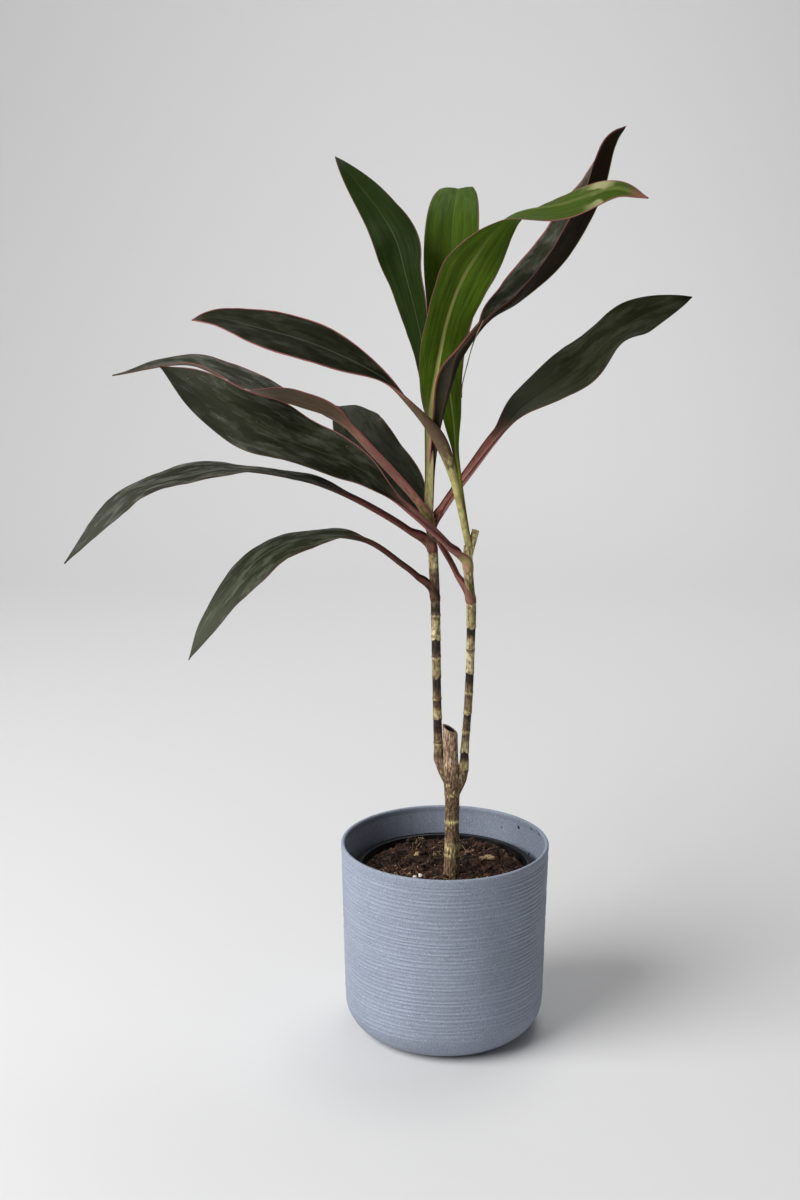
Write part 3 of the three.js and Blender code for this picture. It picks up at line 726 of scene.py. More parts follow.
def grow_radius(height):
    """Outer radius of the grow pot's wall at a height."""
    sizes = bpy.context.scene.cordyline_grow
    foot = POT_FLOOR + SEAT_GAP
    share = (height - foot) / (sizes.rim_height - foot)
    return mix(GROW_FOOT_RADIUS, sizes.rim_radius - GROW_RIM_FLANGE, share)


def grow_profile(sizes):
    """The grow pot's section: under its foot, up the outside, over the flat rim and down inside."""
    rim, radius = sizes.rim_height, sizes.rim_radius
    foot = POT_FLOOR + SEAT_GAP
    inner = grow_radius(rim) - GROW_WALL
    flat = radius - 0.8
    profile = [(0, foot), (GROW_FOOT_RADIUS - 1, foot), (GROW_FOOT_RADIUS, foot + 1)]
    profile += [(grow_radius(z), z) for z in np.linspace(foot + 8, rim - 3.2, GROW_ROWS)]
    profile += [(grow_radius(rim - 2) + 0.4, rim - 2.2), (radius - 0.5, rim - 2)]
    profile += [(radius, rim - 1.6), (radius, rim - 0.7), (radius - 0.3, rim - 0.2), (flat, rim)]
    step = (flat - inner - 0.8) / RIM_GROOVES
    for i in range(RIM_GROOVES):
        start = flat - i * step
        profile += [(start - step * 0.3, rim), (start - step * 0.5, rim - GROOVE_DEPTH)]
        profile.append((start - step * 0.7, rim))
    profile += [(inner + 0.6, rim), (inner + 0.1, rim - 0.3), (inner, rim - 1)]
    profile += [(grow_radius(z) - GROW_WALL, z) for z in np.linspace(rim - 4, foot + 3, GROW_ROWS)]
    profile += [(grow_radius(foot) - GROW_WALL - 1, foot + GROW_FLOOR), (0, foot + GROW_FLOOR)]
    return profile


def grow_material(sizes):
    material, tree, shader = new_material("Black grow pot plastic")
    place = object_place(tree)
    dust = flecks(tree, place, scale=420, threshold=0.60, softness=0.08)
    colour = tinted(tree, tuple(sizes.plastic), DUST, dust, strength=0.4)
    rough = between(tree, noise_value(tree, place, 150, 3), 0.3, 0.7, 0.28, 0.46)
    grain = noise_value(tree, place, 500)
    finish_material(tree, shader, colour, rough, specular=0.3, height=grain, depth=0.03)
    return material


class CORDYLINE_OT_grow_pot(bpy.types.Operator):
    """Models the thin black grow pot with its flat rolled rim"""

    bl_idname = "cordyline.grow_pot"
    bl_label = "Grow pot"

    def execute(self, context):
        sizes = context.scene.cordyline_grow
        obj = turned("grow_pot_rimmed", grow_profile(sizes), GROW_SIDES)
        smooth(obj, degrees=35)
        dress(obj, grow_material(sizes), "grow_pot_black", "nursery_pot")
        return {"FINISHED"}


# Soil

# The peat's cells each way, and how far round the trunk no bits lie.
PEAT_CELLS = 130
TRUNK_CLEAR = 7.5
# Where the peat starts to dip towards the wall, as a share of its radius.
NEAR_WALL = 0.91

# Sizes of the crumbs, and how many of them are fine.
FINE_CRUMB, COARSE_CRUMB = (0.3, 0.95), (1.1, 2.4)
FINE_SHARE = 0.93
CHIP_SIZE = (0.5, 1.3)
FIBRE_LENGTH, FIBRE_RADIUS = (4, 12), (0.12, 0.26)
FIBRE_STEPS = 6

DARK_PEAT = (0.004, 0.0022, 0.0014)
BROWN_PEAT = (0.040, 0.016, 0.008)
PEAT_THREAD = (0.20, 0.10, 0.055)
PEAT_BIT = (0.42, 0.31, 0.18)


class SoilLook(bpy.types.PropertyGroup):
    """Level, lumps and loose bits of the peat."""

    level: bpy.props.FloatProperty(name="Level", description="Mean height in mm", default=119.5)
    lump: bpy.props.FloatProperty(name="Lumps", description="Height of the clods in mm", default=3.0)
    crumbs: bpy.props.IntProperty(name="Crumbs", description="How many loose crumbs", default=1200)
    chips: bpy.props.IntProperty(name="Chips", description="How many bark chips", default=70)
    fibres: bpy.props.IntProperty(name="Fibres", description="How many root fibres", default=130)
    seed: bpy.props.IntProperty(name="Seed", description="Seed of the random places", default=5)


def soil_radius():
    sizes = bpy.context.scene.cordyline_soil
    return grow_radius(sizes.level - SOIL_EDGE_DROP) - GROW_WALL - SEAT_GAP


def soil_height(x, y):
    """Height of the peat at a place: broad clods, then lumps, then crumbs."""
    look = bpy.context.scene.cordyline_soil
    clods = math.sin(0.17 * x + 1.3) * math.cos(0.21 * y - 0.4)
    clods += 0.6 * math.sin(0.33 * x - 0.29 * y + 2.1)
    mounds = sum(h * math.exp(-((x - a) ** 2 + (y - b) ** 2) / r**2) for a, b, h, r in MOUNDS)
    ripple = math.sin(0.71 * x + 0.9) * math.sin(0.63 * y + 0.2)
    lumps = noise.fractal(Vector((x * 0.16, y * 0.16, 3.7)), 0.9, 2.1, 5)
    grit = abs(noise.noise(Vector((x * 0.75, y * 0.75, 9.1))))
    height = look.level + look.lump * (0.35 * clods + 0.3 * ripple) + 1.9 * lumps + 1.2 * grit + mounds
    near_wall = ease(NEAR_WALL, 1.0, math.hypot(x, y) / soil_radius())
    return mix(height, look.level - SOIL_EDGE_DROP, near_wall)


def soil_material():
    material, tree, shader = new_material("Damp peat")
    place = object_place(tree)
    broad = between(tree, noise_value(tree, place, 160, 4, 0.6), 0.35, 0.65)
    colour = blended(tree, broad, DARK_PEAT, BROWN_PEAT)
    threads = flecks(tree, object_place(tree, (1, 1, 3)), scale=900, threshold=0.62, softness=0.06)
    colour = tinted(tree, colour, PEAT_THREAD, threads, strength=0.7)
    bits = flecks(tree, place, scale=480, threshold=0.72, softness=0.02)
    colour = blended(tree, bits, colour, PEAT_BIT)
    rough = between(tree, broad, 0.0, 1.0, 0.95, 0.7)
    relief = noise_value(tree, place, 700, 4, 0.7)
    finish_material(tree, shader, colour, rough, specular=0.3, height=relief, depth=1.0)
    return material


class CORDYLINE_OT_soil(bpy.types.Operator):
    """Models the peat's lumpy top and its body down to the grow pot's floor"""

    bl_idname = "cordyline.soil"
    bl_label = "Soil"

    def execute(self, context):
        obj = block("peat", PEAT_CELLS, PEAT_CELLS)
        flat = coordinates(obj)
        across, along, top = flat[:, 0], flat[:, 1] * 2 - 1, flat[:, 2] > -0.5
        bottom = POT_FLOOR + SEAT_GAP * 2 + GROW_FLOOR
        radius = np.where(top, soil_radius(), grow_radius(bottom) - GROW_WALL - SEAT_GAP)
        x = across * np.sqrt(1 - along**2 / 2) * radius
        y = along * np.sqrt(1 - across**2 / 2) * radius
        height = [soil_height(*place) if up else bottom for *place, up in zip(x, y, top)]
        move_points(obj, np.stack([x, y, height], 1))
        smooth(obj, degrees=60)
        dress(obj, soil_material(), "peat", "soil")
        return {"FINISHED"}


def scattered(rng, reach=0.95):
    """A place on the peat, clear of the trunk."""
    while True:
        angle, share = rng.uniform(0, 2 * math.pi), math.sqrt(rng.random()) * reach
        x, y = soil_radius() * share * math.cos(angle), soil_radius() * share * math.sin(angle)
        if math.hypot(x - STEM_X, y - STEM_Y) > TRUNK_CLEAR:
            return x, y


def copied(obj, points):
    """A copy of a small modelled shape, with its own mesh, at points in millimetres."""
    twin = obj.copy()
    twin.data = obj.data.copy()
    bpy.context.collection.objects.link(twin)
    move_points(twin, points)
    return twin


def lump():
    """The small many-sided lump that every crumb and chip starts from."""
    clear_selection()
    bpy.ops.mesh.primitive_ico_sphere_add(subdivisions=2, radius=1)
    return named("lump")


def bit(rng, source, size, stretch, place, sink=0.3):
    """One broken lump of peat, bark or perlite, seated in the soil."""
    turn, tilt, shift = rng.uniform(0, math.pi), rng.uniform(-0.5, 0.5), rng.uniform(0, 50)
    ball = coordinates(source)
    rough = [noise.noise(Vector(point) * 1.5 + Vector((shift, 0, 0))) for point in ball]
    points = ball * (1 + 0.75 * np.array(rough))[:, None] * size * np.array(stretch)
    x, y, z = points.T
    z = z + tilt * x
    height = soil_height(*place) + size * stretch[2] * (1 - 2 * sink)
    turned_x = x * math.cos(turn) - y * math.sin(turn)
    turned_y = x * math.sin(turn) + y * math.cos(turn)
    return copied(source, np.stack([turned_x, turned_y, z], 1) + np.array((*place, height)))


def straight_tube(angle, share):
    """A tube of radius 1 and height 1."""
    return np.stack([np.cos(angle), np.sin(angle), share], 1)


def bent_tube(line, radius, taper, angle, share):
    """Points of a tapering tube along a smooth line that doesn't rise straight up."""
    ahead = curve_through(line, np.minimum(share + 0.01, 1))
    ahead = unit(ahead - curve_through(line, np.minimum(share, 0.99)))
    side = unit(np.cross(ahead, (0.13, 0.21, 0.97)))
    up = np.cross(ahead, side)
    size = (radius * (1 - taper * share))[:, None]
    around = np.cos(angle)[:, None] * side + np.sin(angle)[:, None] * up
    return curve_through(line, share) + size * around


def root_fibre(rng, source):
    """One thin fibre that lies on the peat."""
    x, y = scattered(rng, 0.88)
    heading, length = rng.uniform(0, 2 * math.pi), rng.uniform(*FIBRE_LENGTH)
    bend = rng.uniform(-0.12, 0.12)
    lift = rng.uniform(0, 0.8)
    step = length / FIBRE_STEPS
    line = []
    for i in range(FIBRE_STEPS + 1):
        arch = lift * math.sin(math.pi * i / FIBRE_STEPS)
        line.append((x, y, soil_height(x, y) + 0.25 + arch))
        heading += bend * step + rng.uniform(-0.3, 0.3)
        x += step * math.cos(heading)
        y += step * math.sin(heading)
    flat = coordinates(source) / MM
    angle = np.arctan2(flat[:, 1], flat[:, 0])
    return copied(source, bent_tube(line, rng.uniform(*FIBRE_RADIUS), 0.5, angle, flat[:, 2]))


class CORDYLINE_OT_soil_bits(bpy.types.Operator):
    """Scatters crumbs, bark chips, perlite and fibres on the peat"""

    bl_idname = "cordyline.soil_bits"
    bl_label = "Soil bits"

    def execute(self, context):
        look = context.scene.cordyline_soil
        rng = random.Random(look.seed)
        source = lump()
        crumbs = []
        for _ in range(look.crumbs):
            size = rng.uniform(*(FINE_CRUMB if rng.random() < FINE_SHARE else COARSE_CRUMB))
            crumbs.append(bit(rng, source, size, (1.2, 1, 0.85), scattered(rng)))
        chips = []
        for _ in range(look.chips):
            size = rng.uniform(*CHIP_SIZE)
            chips.append(bit(rng, source, size, (1.7, 0.9, 0.35), scattered(rng), 0.1))
        for x, y, size in LARGE_CHIPS:
            chips.append(bit(rng, source, size, (1.5, 1, 0.7), (x, y), 0))
        perlite = [bit(rng, source, size, (1, 1, 0.8), (x, y), 0) for x, y, size in PERLITE]
        thread = rolled_tube("fibre", 5, 12, straight_tube)
        fibres = [root_fibre(rng, thread) for _ in range(look.fibres)]
        bpy.data.objects.remove(source)
        bpy.data.objects.remove(thread)
        dress(joined("peat_crumbs", crumbs), tone_material("Peat crumb"), "peat")
        dress(joined("bark_chips", chips), tone_material("Bark chip"), "peat")
        dress(joined("perlite", perlite), tone_material("Perlite"), "peat")
        obj = joined("root_fibres", fibres)
        smooth(obj, degrees=60)
        dress(obj, tone_material("Root fibre"), "peat")
        return {"FINISHED"}


# Stem

# Pale rings of the trunk's bark: [height, spread, strength].
TRUNK_TONES = [(161.3, 1.3, 1), (142, 4, 0.5), (136, 1.2, 0.45), (181, 1.5, 0.3)]
RING_BARK = (0.62, 0.54, 0.27)
# Green patches near the top of the right cane: [height, spread, strength].
GREEN_PATCHES = [(331, 5, 1), (313, 4, 0.6)]

# The cut petiole at the top of the right cane: its middle line, its foot's radius, the share of it
# that is lost towards the end, and the x and z beyond which its own skin shows.
PETIOLE_LINE = [(14.8, -11, 354), (17, -10.4, 362), (19.6, -10, 371.5)]
PETIOLE_RADIUS = 2.9
PETIOLE_TAPER = 0.12
PETIOLE_FROM = (16.4, 356)
PETIOLE_TONE = (0.64, 0.57, 0.29)
# The wall of the hollow in the stub is coloured near black: painted shade in the recess.
HOLLOW_SHADE = (0.012, 0.011, 0.010)


class StemLook(bpy.types.PropertyGroup):
    """Relief of the canes."""

    ring_rise: bpy.props.FloatProperty(name="Ring rise", description="In mm", default=0.34)
    edge_step: bpy.props.FloatProperty(name="Edge step", description="In mm", default=0.30)
    bark_relief: bpy.props.FloatProperty(name="Bark relief", description="In mm", default=0.35)


def scallop(angle, height):
    """How far an old leaf edge wanders up and down as it goes round."""
    return 0.6 * (0.9 * np.sin(2 * angle + height) + 0.5 * np.sin(5 * angle + height * 1.7))


def cane_relief(name, angle, height):
    """How far a cane's skin stands out at an angle and height."""
    look = bpy.context.scene.cordyline_stem
    out = np.zeros_like(height)
    edges, rings = {
        "trunk": ((), TRUNK_RINGS),
        "left": (LEFT_EDGES[:-1], LEFT_RINGS),
        "right": (RIGHT_EDGES, RIGHT_RINGS),
    }[name]
    for edge in edges:
        above = height - edge - scallop(angle, edge)
        out += look.edge_step * np.exp(-np.maximum(above, 0) / 4) * (above > 0)
        out -= look.edge_step * 0.5 * np.exp(np.minimum(above, 0) / 3) * (above <= 0)
    for ring in rings:
        out += look.ring_rise * hump(height, ring, 0.9)
    return out


def cane_solid(name, sides, rows):
    cane = CANES[name]
    grain = 0.7 if name == "trunk" else 0.25
    relief = bpy.context.scene.cordyline_stem.bark_relief * grain

    def place(angle, share):
        height = mix(cane.low, cane.high, share)
        x, y, radius = cane.at(height)
        rough = [
            noise.fractal(Vector((math.cos(a) * 3.2, math.sin(a) * 3.2, z * 0.06)), 1, 2, 4)
            for a, z in zip(angle, height)
        ]
        radius = radius + cane_relief(name, angle, height) + np.array(rough) * relief
        return np.stack([x + radius * np.cos(angle), y + radius * np.sin(angle), height], 1)

    return rolled_tube(name + "_cane", sides, rows, place)


def tone_at(height, bands):
    """The tone of a cane's skin at a height, between the bands' stops."""
    stops = [stop for stop, _ in bands]
    return np.array([np.interp(height, stops, [tone[i] for _, tone in bands]) for i in range(3)])


def trunk_tone(z):
    """Bark: brown, with pale rings, paler and pinker round the cut top."""
    ring = sum(strength * hump(z, height, spread) for height, spread, strength in TRUNK_TONES)
    base = mix(np.array(TRUNK_BARK), np.array(PINK_BARK), 0.8 * ease(192, 212, z))
    return mix(base, np.array(RING_BARK), min(ring, 1))


def cane_tone(name, angle, z):
    """The tone of a cane's skin at an angle and height, and how far it is still the trunk's bark."""
    edges, bands = (LEFT_EDGES, LEFT_BANDS) if name == "left" else (RIGHT_EDGES, RIGHT_BANDS)
    near = min(edges, key=lambda edge: abs(edge - z))
    tone = tone_at(z - scallop(angle, near) * (1 - ease(3, 6, abs(near - z))), bands)
    fork = 1 - ease(-4, 6, z - edges[0])
    tone = mix(tone, trunk_tone(z), fork)
    if name == "right":
        patch = sum(strength * hump(z, height, spread) for height, spread, strength in GREEN_PATCHES)
        side = ease(-0.1, 0.8, math.cos(angle + 0.3))
        tone = mix(tone, np.array(GREEN_BARK), min(patch * side, 1))
    return tone, fork


def stem_tones(points):
    """The colour of each point of the stem, and how far it is bark."""
    colours = np.ones((len(points), 4))
    bark = np.ones(len(points))
    heights = points[:, 2]
    reaches, angles = {}, {}
    for name, cane in CANES.items():
        x, y, radius = cane.at(heights)
        outside = (heights < cane.low - 1) | (heights > cane.high + 1)
        reaches[name] = np.hypot(points[:, 0] - x, points[:, 1] - y) - radius + 1000 * outside
        angles[name] = np.arctan2(points[:, 1] - y, points[:, 0] - x)
    for index, z in enumerate(heights):
        nearest = min(CANES, key=lambda name: reaches[name][index])
        if nearest == "trunk":
            colours[index][:3] = trunk_tone(z)
        else:
            colours[index][:3], bark[index] = cane_tone(nearest, angles[nearest][index], z)
    return colours, bark


def stem_material():
    material, tree, shader = new_material("Cane bark")
    base = attribute(tree, "tone", "Color")
    bark = attribute(tree, "bark")
    wide, narrow = streaks(tree, object_place(tree, (1, 1, 0.10)), 380, 1200)
    # Long streaks of darker and paler bark tone on the smooth skin.
    streak_tone = blended(tree, wide, (1.15, 1.15, 1.12), (0.55, 0.50, 0.45))
    smooth_skin = blended(tree, 0.55, base, streak_tone, "MULTIPLY")
    cracked = blended(tree, narrow, (0.42, 0.38, 0.34), (1.9, 1.9, 1.8))
    rough_skin = blended(tree, 1.0, base, cracked, "MULTIPLY")
    colour = blended(tree, bark, smooth_skin, rough_skin)
    mottle = noise_value(tree, object_place(tree, (1, 1, 0.6)), 560, 3, 0.6)
    mottle = blended(tree, between(tree, mottle, 0.38, 0.60), (0.42, 0.34, 0.27), (1.28, 1.27, 1.24))
    colour = blended(tree, 0.9, colour, mottle, "MULTIPLY")
    specks = flecks(tree, object_place(tree, (1, 1, 0.45)), scale=620, threshold=0.66, softness=0.04)
    colour = tinted(tree, colour, (0.08, 0.05, 0.035), specks, strength=0.45)
    flakes = flecks(tree, object_place(tree, (1, 1, 0.35)), scale=520, threshold=0.64, softness=0.05)
    colour = tinted(tree, colour, (0.50, 0.42, 0.24), flakes, bark)
    height = sums(tree, "ADD", narrow, product(tree, wide, 0.8))
    rough = between(tree, bark, 0.0, 1.0, 0.55, 0.85)
    finish_material(tree, shader, colour, rough, specular=0.3, height=height, depth=0.4)
    return material


class CORDYLINE_OT_stem(bpy.types.Operator):
    """Models the trunk, its hollow cut stub and the two canes as one piece"""

    bl_idname = "cordyline.stem"
    bl_label = "Stem"

    def execute(self, context):
        obj = cane_solid("trunk", sides=48, rows=200)
        unite(obj, rolled_tube("slant", sides=32, rows=8, place=self.slant), "DIFFERENCE")
        unite(obj, rolled_tube("hollow", sides=32, rows=8, place=self.hollow), "DIFFERENCE")
        for side in ("left", "right"):
            unite(obj, cane_solid(side, sides=36, rows=300))
        petiole = functools.partial(bent_tube, PETIOLE_LINE, PETIOLE_RADIUS, PETIOLE_TAPER)
        unite(obj, rolled_tube("petiole_stub", sides=20, rows=24, place=petiole))
        obj.name = obj.data.name = "canes"
        points = coordinates(obj) / MM
        colours, bark = stem_tones(points)
        on_petiole = (points[:, 0] > PETIOLE_FROM[0]) & (points[:, 2] > PETIOLE_FROM[1])
        colours[on_petiole, :3] = PETIOLE_TONE
        inside = self.in_hollow(points)
        # Painted shade: near black on the hollow's wall.
        colours[inside, :3] = HOLLOW_SHADE
        bark[inside] = 0
        write_attribute(obj, "tone", colours, "FLOAT_COLOR")
        write_attribute(obj, "bark", bark)
        smooth(obj, degrees=42)
        dress(obj, stem_material(), "bark", "stem")
        return {"FINISHED"}

    def slant(self, angle, share):
        """What the slanted cut takes off the trunk: a block with a ragged foot on the cut."""
        across, deep = CUT_RADIUS * np.cos(angle), CUT_RADIUS * np.sin(angle)
        foot = CUT_HEIGHT - CUT_FALL * across + CUT_LEAN * deep + CUT_RAGGED * np.sin(7 * angle)
        return np.stack([STUB_X + across, STUB_Y + deep, mix(foot, CUT_TOP, share)], 1)

    def hollow_at(self, share):
        """The hollow in the stub, from its foot to its top: its middle's x, y and z, and its radius."""
        return [mix(foot, top, share) for foot, top in zip(HOLLOW_FOOT, HOLLOW_TOP)]

    def hollow(self, angle, share):
        """The hollow's wall: a cup that widens towards the cut."""
        x, y, z, radius = self.hollow_at(share)
        return np.stack([x + radius * np.cos(angle), y + radius * np.sin(angle), z], 1)

    def in_hollow(self, points):
        """Which points lie on the hollow's wall."""
        heights = points[:, 2]
        foot, top = HOLLOW_FOOT[2], HOLLOW_TOP[2]
        x, y, _, radius = self.hollow_at(np.clip((heights - foot) / (top - foot), 0, 1))
        reach = np.hypot(points[:, 0] - x, points[:, 1] - y)
        return (heights > foot - 0.5) & (heights < top - 2) & (reach < radius + 0.1)


# Leaves

class LeafLook(bpy.types.PropertyGroup):
    """Thickness, relief and fineness that all leaves share."""

    blade: bpy.props.FloatProperty(name="Blade", description="Blade thickness in mm", default=0.6)
    ripple: bpy.props.FloatProperty(
        name="Ripple", description="Height of the ripples in mm", default=0.35
    )
    flare: bpy.props.FloatProperty(
        name="Flare", description="How far a sheath's wings spread where it opens, in mm", default=0.6
    )
    across: bpy.props.IntProperty(name="Across", description="Cells across a leaf", default=32)
    along: bpy.props.IntProperty(name="Along", description="Cells along a leaf", default=170)


# How far a stalk's halves are folded up, in degrees, and how far along it a young sheath swells.
STALK_FOLD = 45.0
SHEATH_SPREAD = 0.2

# A sheath's rows, as shares of all rows: the sheath itself, the rows above it where the leaf lets go
# of the cane, and those where its wings come down. Then half the angle that it wraps, in degrees, at
# its foot and at its mouth, its gap to the cane and its wall.
SHEATH_ROWS = 0.08
RELEASE_ROWS = 0.06
RISE_ROWS = 0.07
SHEATH_WRAP = 172.0
SHEATH_MOUTH = 80.0
SHEATH_CLEAR = 0.12
SHEATH_WALL = 0.5

# Linear colours that several leaves share.
PINK = (0.30, 0.105, 0.095)
ROSE = (0.22, 0.085, 0.075)
DEEP_PINK = (0.11, 0.034, 0.034)
MAROON = (0.040, 0.016, 0.013)
OLIVE = (0.22, 0.20, 0.075)
CREAM_GREEN = (0.46, 0.42, 0.17)
TAN = (0.17, 0.115, 0.06)

